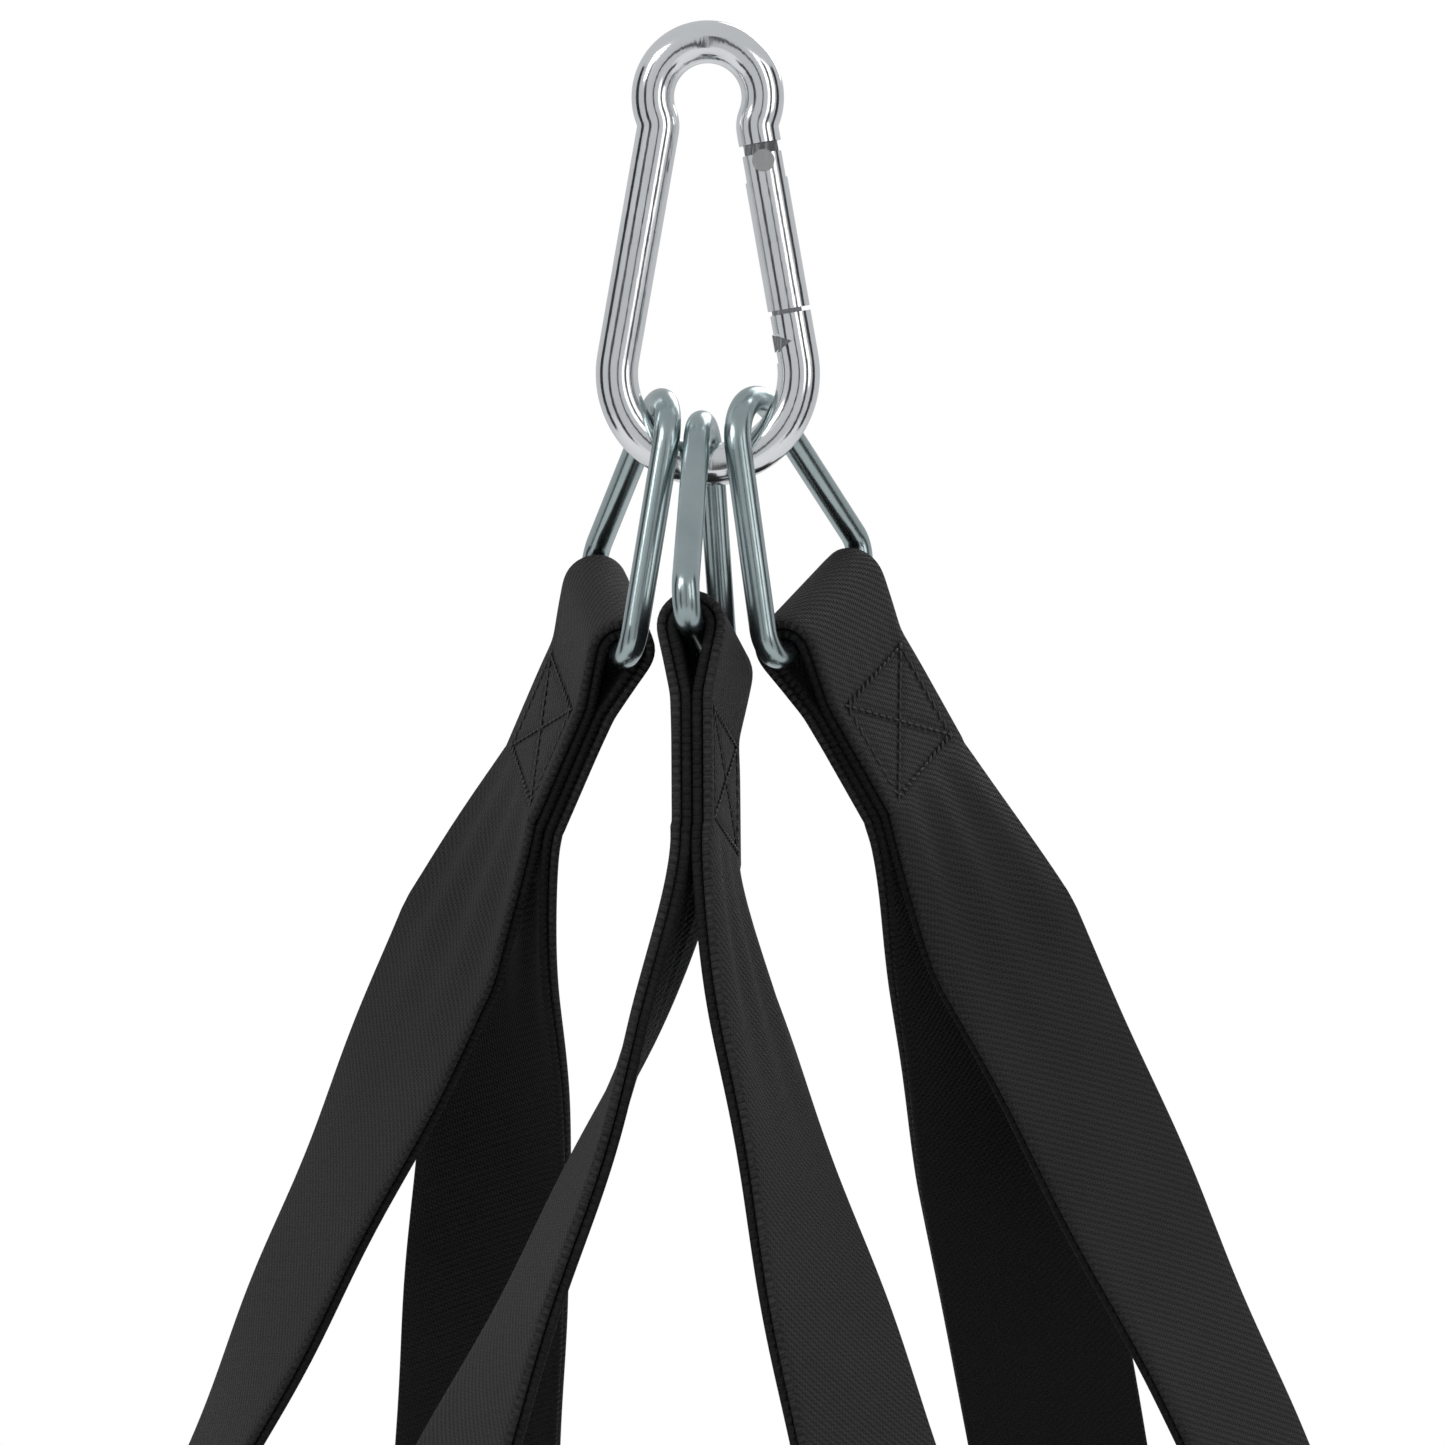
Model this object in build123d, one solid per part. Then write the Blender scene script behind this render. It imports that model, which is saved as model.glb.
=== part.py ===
from build123d import *

# Belt swing seat: a snap hook, three triangle rings, three doubled webbing straps, a seat belt, a back belt
# and a foot bar.
#
# Row frame: millimetres, +Z up, +X to the right, -Y to the front.  Origin: inside the top of the hook's eye,
# where the hanger bears.  The hook is turned a little about Z against the sling.  Below the rings the sling is
# symmetric about the YZ plane, but the rings and the tops of the straps lean each their own way.
import math
import os

os.makedirs("parts", exist_ok=True)

# ---- snap hook -------------------------------------------------------------------------------------------
HOOK_LENGTH = 120.0          # over the wire
HOOK_WIRE = 11.0             # diameter
HOOK_TURN = 9.0              # degrees about Z
EYE_BEND = 14.2              # wire centre line at the eye
NECK_BEND = 6.0              # wire centre line where the eye turns back into the shanks
NECK_ANGLE = 21.5            # degrees below the eye's centre at which the neck starts
BOW_BEND = 23.6              # wire centre line at the bow

# ---- gate ------------------------------------------------------------------------------------------------
SHOULDER = 3.4               # neck to the end of the upper shank, along the shank
GATE_TOP_GAP = 2.8           # shoulder to the gate's ears
RIVET_BELOW = 1.9            # gate's upper end to the rivet
RIVET_RADIUS = 2.0
RIVET_RUNNING = 0.05         # rivet to the gate's ears, radial
RIVET_HEAD = 0.6             # how far each head stands proud
TONGUE_HALF = 2.0            # half thickness of the flat tongue that the gate turns on
TONGUE_NOSE = 4.4            # rounded end of the tongue, about the rivet
FORK_GAP = 0.2               # tongue to fork, each side
GATE_END = 46.6              # neck to the gate's lower end, along the shank
NOSE_GAP = 1.2               # gate's lower end to the hook's nose
CATCH_HALF = 1.9             # half thickness of the gate's catch
CATCH_GAP = 0.25             # catch to its slot, each side
CATCH_LENGTH = 13.0          # gate's lower end to the catch's tip
CATCH_OUT = 3.2              # catch's reach towards the outside of the hook
NOSE_WALL = 2.0              # wall left outside the slot
PIN_DROP = 8.3               # gate's lower end to the cross pin
PIN_HALF = 4.4               # half length of the three-sided cross pin
PIN_HEIGHT = 4.6
PIN_DEPTH = 4.4
PIN_GAP = 0.35
BORE_RADIUS = 2.3            # spring's bore in the gate
SPRING_LENGTH = 14.0
SPRING_WIRE = 0.6
SPRING_TURNS = 8
RIVET_RIM = 0.9              # rivet's head beyond its shank, radial
FORK_ROOM = 0.5              # tongue's end to the bottom of the fork
PLUNGER_LENGTH = 5.0
PLUNGER_GAP = 0.2

# ---- triangle rings --------------------------------------------------------------------------------------
RING_WIRE = 7.0
RING_HEIGHT = 60.5           # between the centre lines of bar and crown
RING_BAR = 51.0              # straight length of the bar, which takes the webbing
RING_CORNER = 7.0            # wire centre line at the corners
RING_CROWN = 14.0            # wire centre line at the crown

# ---- webbing ---------------------------------------------------------------------------------------------
WEB_WIDTH = 50.0
WEB_THICK = 2.5
WEB_GAP = 0.2                # between two layers
BAR_GAP = 0.3                # webbing to the bar it turns on
RING_THROAT = 18.0           # ring's bar to the start of the sewing
RING_SEWN = 34.0             # length of the sewn box under a ring
LINK_THROAT = 13.0
LINK_SEWN = 44.0             # length of the sewn box over a link
LEG_SECTIONS = 17
LEAVING = 0.10               # share of a leg that goes on straight from the sewn head
ARRIVING = 0.16              # share that runs straight into its link
SEAT_FLARE_AT = 0.12         # share of the leg where its width has turned to its flare
BACK_FLARE_AT = 0.30
FOOT_FLARE_AT = 0.40

# ---- links between legs and belts ------------------------------------------------------------------------
LINK_WIRE = 6.0
LINK_BAR = 51.0              # straight length of each long bar
LINK_CORNER = 6.0            # wire centre line
LINK_HEIGHT = 24.0           # between the centre lines of the long bars

# ---- seat belt -------------------------------------------------------------------------------------------
SEAT_REACH = 250.0           # middle of the seat to its links
SEAT_BACK = 45.0             # behind the row's middle plane
SEAT_TOP = -602.0            # height of the seat links' upper bars
SEAT_WIDTH = 150.0           # front edge to rear edge
SEAT_SLOPE = 48.0            # degrees below level at which the seat leaves its links
SEAT_SEWN = 30.0
STIFFENER_THICK = 2.0
STIFFENER_INSET = 12.0       # stiffener's edge to the cover's edge
FOAM_THICK = 12.0
COVER_THICK = 1.5
LAYER_GAP = 0.2
BINDING_THICK = 1.8
SEAT_CORNER = 28.0
SEAT_END_GAP = 9.0           # belt's end to the folded web

# ---- back belt -------------------------------------------------------------------------------------------
BACK_REACH = 106.0           # middle of the back belt to its links
BACK_DEPTH = 188.0
BACK_TOP = -602.0
BACK_LENGTH = 380.0          # along its curve
BACK_HEIGHT = 130.0
BACK_DROP = 36.0             # back links' upper bars down to the belt's upper edge
BACK_BEND = 600.0            # radius of its curve
BACK_FOAM = 10.0
BACK_CORNER = 26.0
BACK_TAB_SHORT = 8.0         # tabs' lower ends above the belt's lower edge

# ---- foot bar --------------------------------------------------------------------------------------------
FOOT_REACH = 112.0           # middle to the foot links
FOOT_FRONT = -181.0
FOOT_TOP = -600.0
FOOT_DROP = 80.0             # foot links' lower bars down to the tube
TUBE_RADIUS = 12.7
TUBE_WALL = 1.5
TUBE_HALF = 168.0
PAD_RADIUS = 20.0
PAD_HALF = 84.0
CAP_LENGTH = 18.0
CAP_LIP = 3.0
CAP_GAP = 0.1
PAD_GAP = 0.2

WIRE = HOOK_WIRE / 2
BAR = RING_WIRE / 2
LINK = LINK_WIRE / 2
PITCH = WEB_THICK + WEB_GAP  # from one layer of webbing to the next
DOWN = Vector(0, 0, -1)
UP = Vector(0, 0, 1)
HOOK = Rot(0, 0, HOOK_TURN)


def unit(x, y, z):
    return Vector(x, y, z).normalized()


def square_to(vector, axis):
    """The part of a vector that is square to an axis, as a unit vector."""
    return (vector - axis * vector.dot(axis)).normalized()


def write(shape, node):
    """Each sub-part goes to its own STEP file, as bare solids."""
    solids = shape.solids()
    export_step(solids[0] if len(solids) == 1 else Compound(children=solids), f"parts/{node}.step")


def rod(start, end, radius):
    return Solid.make_cylinder(radius, (end - start).length, Plane(origin=start, z_dir=end - start))


# ==========================================================================================================
# Snap hook, in its own XZ plane, with the gate at +X
# ==========================================================================================================
EYE_CENTRE = Vector(0, 0, WIRE - EYE_BEND)
BOW_CENTRE = Vector(0, 0, HOOK_WIRE - HOOK_LENGTH + WIRE + BOW_BEND)
_neck = math.radians(NECK_ANGLE)
NECK_OUT = Vector(math.cos(_neck), 0, -math.sin(_neck))
NECK_CENTRE = EYE_CENTRE + NECK_OUT * (EYE_BEND + NECK_BEND)

# The shank is the crossed tangent of the neck's bend and the bow.
_fall = BOW_CENTRE - NECK_CENTRE
SHANK_LEAN = math.atan2(_fall.X, -_fall.Z) + math.asin((NECK_BEND + BOW_BEND) / _fall.length)
SHANK_DOWN = Vector(math.sin(SHANK_LEAN), 0, -math.cos(SHANK_LEAN))
SHANK_OUT = Vector(math.cos(SHANK_LEAN), 0, math.sin(SHANK_LEAN))
NECK = NECK_CENTRE - SHANK_OUT * NECK_BEND
SHANK_LENGTH = (BOW_CENTRE + SHANK_OUT * BOW_BEND - NECK).length
GATE_TOP = SHOULDER + GATE_TOP_GAP
PIVOT_AT = GATE_TOP + RIVET_BELOW
NOSE_TOP = GATE_END + NOSE_GAP


def shank_point(distance):
    return NECK + SHANK_DOWN * distance


def mirrored(point):
    return Vector(-point.X, point.Y, point.Z)


def shank_block(inner, outer, half, start, end):
    """A block along the gate's side: from inner to outer across the hook, start to end down the shank."""
    middle = shank_point((start + end) / 2) + SHANK_OUT * ((inner + outer) / 2)
    return Plane(origin=middle, x_dir=SHANK_OUT, z_dir=SHANK_DOWN) * Box(outer - inner, 2 * half, end - start)


def pin_face(distance, radius, half):
    """A cylinder through the shank, along the gate's axis of turning."""
    return Plane(origin=shank_point(distance), z_dir=(0, 1, 0)) * Cylinder(radius, 2 * half)


def cross_pin(grow, half):
    """A three-sided bar through the catch: flat towards the inside of the hook, its edge towards the outside."""
    middle = GATE_END + PIN_DROP
    height = PIN_HEIGHT / 2 + grow
    inner = -WIRE - grow
    corners = [(inner, middle - height), (inner, middle + height), (inner + PIN_DEPTH + 2 * grow, middle)]
    points = [shank_point(s) + SHANK_OUT * x for x, s in corners]
    face = Plane(origin=points[0], z_dir=(0, 1, 0))
    flat = make_face(Polyline(*[face.to_local_coords(p) for p in points], close=True))
    return extrude(face * flat, amount=half, both=True)


PIVOT = shank_point(PIVOT_AT)


def make_hook_body():
    eye_side = EYE_CENTRE + NECK_OUT * EYE_BEND
    eye_top = EYE_CENTRE + Vector(0, 0, EYE_BEND)
    bend = (NECK_OUT * -1 + SHANK_OUT * -1).normalized()
    neck_middle = NECK_CENTRE + bend * NECK_BEND
    foot = shank_point(SHANK_LENGTH)
    bottom = BOW_CENTRE - Vector(0, 0, BOW_BEND)
    upper = shank_point(SHOULDER)
    nose = shank_point(NOSE_TOP)
    path = Wire([
        Line(upper, NECK),
        ThreePointArc(NECK, neck_middle, eye_side),
        ThreePointArc(eye_side, eye_top, mirrored(eye_side)),
        ThreePointArc(mirrored(eye_side), mirrored(neck_middle), mirrored(NECK)),
        Line(mirrored(NECK), mirrored(foot)),
        ThreePointArc(mirrored(foot), bottom, foot),
        Line(foot, nose),
    ])
    body = sweep(Plane(origin=upper, z_dir=NECK - upper) * Circle(WIRE), path=path)
    # Tongue with a rounded end, on which the gate turns.
    blank = rod(shank_point(SHOULDER - 1), shank_point(PIVOT_AT + TONGUE_NOSE), WIRE)
    flat = shank_block(-TONGUE_NOSE, TONGUE_NOSE, TONGUE_HALF, SHOULDER - 1, PIVOT_AT)
    flat += pin_face(PIVOT_AT, TONGUE_NOSE, TONGUE_HALF)
    body += blank & flat
    body -= pin_face(PIVOT_AT, RIVET_RADIUS, WIRE)
    # Slot for the catch, open to the top and to the inside, with a notch for the cross pin.
    slot_end = GATE_END + CATCH_LENGTH + 2 * CATCH_GAP
    body -= shank_block(-2 * WIRE, WIRE - NOSE_WALL, CATCH_HALF + CATCH_GAP, NOSE_TOP - 1, slot_end)
    body -= cross_pin(PIN_GAP, 2 * WIRE)
    return body


def make_gate():
    gate = rod(shank_point(GATE_TOP), shank_point(GATE_END), WIRE)
    fork_end = PIVOT_AT + TONGUE_NOSE + FORK_ROOM
    gate -= shank_block(-2 * WIRE, 2 * WIRE, TONGUE_HALF + FORK_GAP, GATE_TOP - 1, fork_end)
    gate -= pin_face(PIVOT_AT, RIVET_RADIUS + RIVET_RUNNING, 2 * WIRE)
    gate -= rod(shank_point(fork_end - 1), shank_point(fork_end + PLUNGER_LENGTH + SPRING_LENGTH), BORE_RADIUS)
    catch = shank_block(1 - WIRE, CATCH_OUT, CATCH_HALF, GATE_END - 1, GATE_END + CATCH_LENGTH)
    gate += catch
    return gate - cross_pin(0.01, PIN_HALF + 1)


def make_rivet():
    rivet = Cylinder(RIVET_RADIUS, 2 * WIRE)
    for side in (-1, 1):
        rivet += Pos(0, 0, side * (WIRE + RIVET_HEAD / 2)) * Cylinder(RIVET_RADIUS + RIVET_RIM, RIVET_HEAD)
    return Plane(origin=PIVOT, z_dir=(0, 1, 0)) * rivet


def make_plunger():
    top = PIVOT_AT + TONGUE_NOSE + PLUNGER_GAP
    return rod(shank_point(top), shank_point(top + PLUNGER_LENGTH), BORE_RADIUS - PLUNGER_GAP)


def make_spring():
    top = PIVOT_AT + TONGUE_NOSE + FORK_ROOM + PLUNGER_LENGTH + SPRING_WIRE
    length = SPRING_LENGTH - 2.5 * SPRING_WIRE
    coil = Helix(pitch=length / SPRING_TURNS, height=length, radius=BORE_RADIUS - SPRING_WIRE)
    section = Plane(origin=coil @ 0, z_dir=coil % 0) * Circle(SPRING_WIRE / 2)
    spring = sweep(section, path=coil)
    return Plane(origin=shank_point(top), x_dir=SHANK_OUT, z_dir=SHANK_DOWN) * spring


write(HOOK * make_hook_body(), "hook_body")
write(HOOK * make_gate(), "hook_gate")
write(HOOK * cross_pin(0, PIN_HALF), "gate_cross_pin")
write(HOOK * make_rivet(), "gate_rivet")
write(HOOK * make_plunger(), "gate_plunger")
write(HOOK * make_spring(), "gate_spring")


# ==========================================================================================================
# Bent wire: rings and links.  Local x runs along the bar, local z up, origin on the bar's centre line
# ==========================================================================================================
def loop_line(bends):
    """A closed line of arcs joined by tangents: each bend is a centre (x, z) and a radius, anticlockwise."""
    ends = []
    for (x0, z0, r0), (x1, z1, r1) in zip(bends, bends[1:] + bends[:1]):
        span = math.hypot(x1 - x0, z1 - z0)
        lean = math.atan2(z1 - z0, x1 - x0) - math.pi / 2 + math.asin((r0 - r1) / span)
        out = Vector(math.cos(lean), 0, math.sin(lean))
        ends.append((Vector(x0, 0, z0) + out * r0, Vector(x1, 0, z1) + out * r1))
    edges = []
    for i, (x, z, bend) in enumerate(bends):
        start, end, centre = ends[i - 1][1], ends[i][0], Vector(x, 0, z)
        last = (ends[i - 1][1] - ends[i - 1][0]).normalized()
        next_way = (ends[i][1] - ends[i][0]).normalized()
        way_out = (last - next_way).normalized()
        edges += [ThreePointArc(start, centre + way_out * bend, end), Line(*ends[i])]
    return Wire(edges)


def bent_wire(bends, radius):
    """Round wire bent to a closed line."""
    path = loop_line(bends)
    return sweep(Plane(origin=path @ 0, z_dir=path % 0) * Circle(radius), path=path)


def make_ring():
    half = RING_BAR / 2
    foot = [(-half, RING_CORNER, RING_CORNER), (half, RING_CORNER, RING_CORNER)]
    return bent_wire([*foot, (0, RING_HEIGHT - RING_CROWN, RING_CROWN)], BAR)


def make_link():
    """Its upper bar passes through the local origin, and its lower bar lies LINK_HEIGHT under it."""
    half = LINK_BAR / 2
    low, high = LINK_CORNER - LINK_HEIGHT, -LINK_CORNER
    corners = [(-half, low), (half, low), (half, high), (-half, high)]
    return bent_wire([(x, z, LINK_CORNER) for x, z in corners], LINK)


# Crown of each ring's centre line, along and across the hook and up from where its wire would rest on the
# bow; the way the ring leans from its crown to its bar; the way its bar runs from back to front; the way the
# strap leaves it.
CROWNS = {"left": (-11.1, 0.0, 6.7), "middle": (-1.0, 4.0, 0.9), "right": (10.2, -1.0, 7.1)}
PULLS = {"left": unit(-0.29, 0.22, -0.93), "middle": unit(0.06, -0.33, -0.942), "right": unit(0.28, 0.28, -0.917)}
RUNS = {"left": (0.30, -0.89, -0.35), "middle": (0.0, -0.95, 0.31), "right": (-0.25, -0.90, -0.33)}
FALLS = {"left": (-0.39, 0.10, -0.90), "middle": (0.06, -0.33, -0.942), "right": (0.43, 0.12, -0.89)}


def head_of(strap):
    """Where a ring's bar is, the way the ring leans, the way the bar runs and the way the strap leaves it."""
    pull = PULLS[strap]
    along, across, up = CROWNS[strap]
    resting = BOW_CENTRE.Z - BOW_BEND + WIRE + BAR
    crown = Plane.XY.rotated((0, 0, HOOK_TURN)).from_local_coords(Vector(along, across, resting + up))
    run = square_to(Vector(*RUNS[strap]), pull)
    return crown + pull * RING_HEIGHT, pull, run, square_to(Vector(*FALLS[strap]), run)


for strap in CROWNS:
    bar, pull, run, fall = head_of(strap)
    write(Plane(origin=bar, x_dir=run, z_dir=pull * -1) * make_ring(), f"{strap}_ring")


# ==========================================================================================================
# Webbing
# ==========================================================================================================
def turned_web(inner, half_gap, throat, length):
    """Outline of a web that turns on a bar at the origin and runs down both sides of a middle line."""

    def side(radius, x):
        """The point where the tangent from the throat meets the turn."""
        reach = math.hypot(x, throat)
        angle = math.atan2(-throat, x) + math.acos(radius / reach)
        return (radius * math.cos(angle), radius * math.sin(angle))

    def rail(radius, x):
        right = side(radius, x)
        left = (-right[0], right[1])
        return [Line((x, -length), (x, -throat)), Line((x, -throat), right),
                ThreePointArc(right, (0, radius), left),
                Line(left, (-x, -throat)), Line((-x, -throat), (-x, -length))]

    near, far = half_gap, half_gap + WEB_THICK
    ends = [Line((-far, -length), (-near, -length)), Line((near, -length), (far, -length))]
    return make_face([*rail(inner + WEB_THICK, far), *rail(inner, near), *ends])


def across_bar(origin, normal, down):
    """A plane square to a bar: its x is the web's normal, and its y points back up the web."""
    return Plane(origin=origin, x_dir=normal, z_dir=normal.cross(down * -1))


def web_around(origin, normal, down, inner, half_gap, throat, length):
    outline = turned_web(inner, half_gap, throat, length)
    return extrude(across_bar(origin, normal, down) * outline, amount=WEB_WIDTH / 2, both=True)


RING_LENGTH = RING_THROAT + RING_SEWN
INNER_HALF = WEB_GAP / 2
OUTER_HALF = INNER_HALF + PITCH
for strap in CROWNS:
    bar, pull, run, fall = head_of(strap)
    normal = run.cross(fall)
    inner_turn = BAR + BAR_GAP
    inner_loop = web_around(bar, normal, fall, inner_turn, INNER_HALF, RING_THROAT, RING_LENGTH)
    outer_loop = web_around(bar, normal, fall, inner_turn + PITCH, OUTER_HALF, RING_THROAT, RING_LENGTH)
    write(inner_loop, f"{strap}_loop_inner_web")
    write(outer_loop, f"{strap}_loop_outer_web")


# ==========================================================================================================
# Legs: two layers of webbing from a ring's sewn box down to a link, and the link itself
# ==========================================================================================================
LINK_LENGTH = LINK_THROAT + LINK_SEWN
WRAP_HALF = WEB_THICK / 2 + WEB_GAP          # the outer layer turns back round the bar and clasps the inner one
STACK_SHIFT = PITCH / 2                      # middle of the two layers to the bar's middle


def turned(start, end, share):
    """A direction part of the way round from one unit vector to another."""
    angle = math.acos(max(-1.0, min(1.0, start.dot(end))))
    return (start * math.sin((1 - share) * angle) + end * math.sin(share * angle)) * (1 / math.sin(angle))


def facing(vector, towards):
    """The vector or its opposite, whichever points more towards the other one."""
    return vector if vector.dot(towards) > 0 else vector * -1


def make_leg(strap, beside, link, link_run, outward, flare, flare_at):
    """The outer and inner layers of a leg that leaves its ring on the side of beside.

    Its outer face turns from there to outward.  Its width turns from the ring's bar to flare, a share flare_at of
    the way down, and on to the link's bar, link_run.
    """
    bar, pull, run, fall = head_of(strap)
    side_normal = facing(run.cross(fall), beside)
    heading = link - bar - fall * RING_LENGTH
    down = square_to(heading, link_run)
    face = facing(link_run.cross(down), outward)
    start = bar + fall * RING_LENGTH + side_normal * (INNER_HALF + WEB_THICK + WEB_GAP / 2)
    end = link - down * LINK_LENGTH + face * STACK_SHIFT
    reach = (end - start).length
    knots = [start, start + fall * (LEAVING * reach), end - down * (ARRIVING * reach), end]
    path = Bezier(*knots)
    layers = {"outer": [], "inner": []}
    for i in range(LEG_SECTIONS):
        share = i / (LEG_SECTIONS - 1)
        tangent = path % share
        if share < flare_at:
            width = square_to(turned(run, flare, share / flare_at), tangent)
        else:
            width = square_to(turned(flare, link_run, (share - flare_at) / (1 - flare_at)), tangent)
        out = facing(width.cross(tangent), turned(side_normal, face, share))
        for layer, step in (("outer", PITCH / 2), ("inner", -PITCH / 2)):
            place = Plane(origin=path @ share + out * step, x_dir=width, z_dir=tangent)
            layers[layer].append(place * Rectangle(WEB_WIDTH, WEB_THICK))
    outer = loft(layers["outer"], ruled=True)
    wrap = web_around(link, face, down * -1, LINK + BAR_GAP, WRAP_HALF, LINK_THROAT, LINK_LENGTH)
    inner = loft(layers["inner"], ruled=True)
    length = LINK_LENGTH - LINK_THROAT
    middle = link - down * (LINK_THROAT + length / 2)
    tail = Plane(origin=middle, x_dir=link_run, z_dir=down) * Box(WEB_WIDTH, WEB_THICK, length)
    return outer + wrap, inner + tail


FRONT = Vector(0, -1, 0)
REAR = Vector(0, 1, 0)
BACK_CURL = math.asin(BACK_REACH / BACK_BEND)
LEGS = {}
for strap, side in (("left", -1), ("right", 1)):
    outside = Vector(side, 0, 0)
    seat_link = Vector(side * SEAT_REACH, SEAT_BACK, SEAT_TOP)
    back_link = Vector(side * BACK_REACH, BACK_DEPTH, BACK_TOP)
    foot_link = Vector(side * FOOT_REACH, FOOT_FRONT, FOOT_TOP)
    back_run = Vector(-side * math.cos(BACK_CURL), math.sin(BACK_CURL), 0)
    seat_flare, back_flare = unit(-side * 0.67, -0.68, -0.28), unit(-side * 0.90, -0.40, 0)
    foot_flare = unit(-side * 0.60, -0.75, 0.30)
    inside = outside * -1
    LEGS[f"{strap}_seat"] = (strap, outside, seat_link, FRONT, outside, seat_flare, SEAT_FLARE_AT)
    LEGS[f"{strap}_back"] = (strap, inside, back_link, back_run, REAR, back_flare, BACK_FLARE_AT)
    LEGS[f"{strap}_foot"] = ("middle", outside, foot_link, inside, FRONT, foot_flare, FOOT_FLARE_AT)

for name, leg in LEGS.items():
    outer, inner = make_leg(*leg)
    write(outer, f"{name}_leg_outer_web")
    write(inner, f"{name}_leg_inner_web")
    write(Plane(origin=leg[2], x_dir=leg[3], z_dir=UP) * make_link(), f"{name}_link")


# ==========================================================================================================
# Seat belt: a shallow arc of layers across X, carried by a web that turns on the links' lower bars
# ==========================================================================================================
SEAT_FACE = WEB_GAP / 2 + WEB_THICK / 2      # the web is folded on itself at each end
SEAT_LENGTH = LINK_THROAT + SEAT_SEWN
_slope = math.radians(SEAT_SLOPE)
SEAT_BAR = Vector(SEAT_REACH, SEAT_BACK, SEAT_TOP - LINK_HEIGHT)
SEAT_IN = Vector(-math.cos(_slope), 0, -math.sin(_slope))
SEAT_OUT = Vector(math.sin(_slope), 0, -math.cos(_slope))
SEAT_EDGE = SEAT_BAR + SEAT_IN * SEAT_LENGTH + SEAT_OUT * SEAT_FACE
SEAT_BEND = SEAT_EDGE.X / math.sin(_slope)   # middle of the web's thickness
SEAT_CENTRE = Vector(0, SEAT_BACK, SEAT_EDGE.Z + SEAT_BEND * math.cos(_slope))
SEAT_HALF = SEAT_EDGE.X - SEAT_END_GAP       # half length of the belt in plan


def arc_slab(near, far, half_angle, width):
    """A curved slab between two radii about the seat's centre, either side of straight down."""
    a = math.radians(half_angle)
    ends = [(radius * math.sin(a), -radius * math.cos(a)) for radius in (near, far)]
    outline = make_face([
        ThreePointArc((-ends[0][0], ends[0][1]), (0, -near), ends[0]), Line(ends[0], ends[1]),
        ThreePointArc(ends[1], (0, -far), (-ends[1][0], ends[1][1])),
        Line((-ends[1][0], ends[1][1]), (-ends[0][0], ends[0][1])),
    ])
    place = Plane(origin=SEAT_CENTRE, x_dir=(1, 0, 0), z_dir=(0, -1, 0))
    return extrude(place * outline, amount=width / 2, both=True)


def seat_layer(near, far, inset):
    """A layer of the belt, with rounded corners, that far inside the belt's edge."""
    plan = RectangleRounded(2 * (SEAT_HALF - inset), SEAT_WIDTH - 2 * inset, SEAT_CORNER - inset)
    column = extrude(Pos(0, SEAT_BACK, SEAT_CENTRE.Z) * plan, amount=-2 * SEAT_BEND)
    return arc_slab(near, far, SEAT_SLOPE, SEAT_WIDTH) & column


def make_seat_web():
    web = arc_slab(SEAT_BEND - WEB_THICK / 2, SEAT_BEND + WEB_THICK / 2, SEAT_SLOPE, WEB_WIDTH)
    for side in (-1, 1):
        bar = Vector(side * SEAT_BAR.X, SEAT_BAR.Y, SEAT_BAR.Z)
        out = Vector(side * SEAT_OUT.X, 0, SEAT_OUT.Z)
        inward = Vector(side * SEAT_IN.X, 0, SEAT_IN.Z)
        web += web_around(bar, out, inward, LINK + BAR_GAP, WEB_GAP / 2, LINK_THROAT, SEAT_LENGTH)
    return web


seat_base = SEAT_BEND - WEB_THICK / 2 - LAYER_GAP
seat_plate = seat_base - COVER_THICK - LAYER_GAP
seat_foam = seat_plate - STIFFENER_THICK - LAYER_GAP
seat_cover = seat_foam - FOAM_THICK - LAYER_GAP
seat_top = seat_cover - COVER_THICK
tucked = BINDING_THICK + LAYER_GAP
write(make_seat_web(), "seat_web")
write(seat_layer(seat_base - COVER_THICK, seat_base, tucked), "seat_base_cover")
write(seat_layer(seat_plate - STIFFENER_THICK, seat_plate, STIFFENER_INSET), "seat_stiffener")
write(seat_layer(seat_foam - FOAM_THICK, seat_foam, tucked), "seat_foam")
write(seat_layer(seat_top, seat_cover, tucked), "seat_top_cover")
write(seat_layer(seat_top, seat_base, 0) - seat_layer(seat_top - 1, seat_base + 1, BINDING_THICK), "seat_binding")


# ==========================================================================================================
# Back belt: curved about a point in front of it, hung by a web tab behind it at each link
# ==========================================================================================================
BACK_BAR_Z = BACK_TOP - LINK_HEIGHT
BACK_CENTRE_Y = BACK_DEPTH - BACK_BEND * math.cos(BACK_CURL)
BACK_UPPER = BACK_TOP - BACK_DROP
BACK_MIDDLE = BACK_UPPER - BACK_HEIGHT / 2


def back_layer(near, far, inset):
    """A layer of the belt between two radii, with rounded corners, that far inside the belt's edge."""
    outline = RectangleRounded(BACK_LENGTH - 2 * inset, BACK_HEIGHT - 2 * inset, BACK_CORNER - inset)
    upright = Plane(origin=(0, 0, BACK_MIDDLE), x_dir=(1, 0, 0), z_dir=REAR)
    block = extrude(upright * outline, amount=2 * BACK_DEPTH)
    ring = Cylinder(far, 2 * BACK_HEIGHT) - Cylinder(near, 2 * BACK_HEIGHT)
    return block & (Pos(0, BACK_CENTRE_Y, BACK_MIDDLE) * ring)


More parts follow.
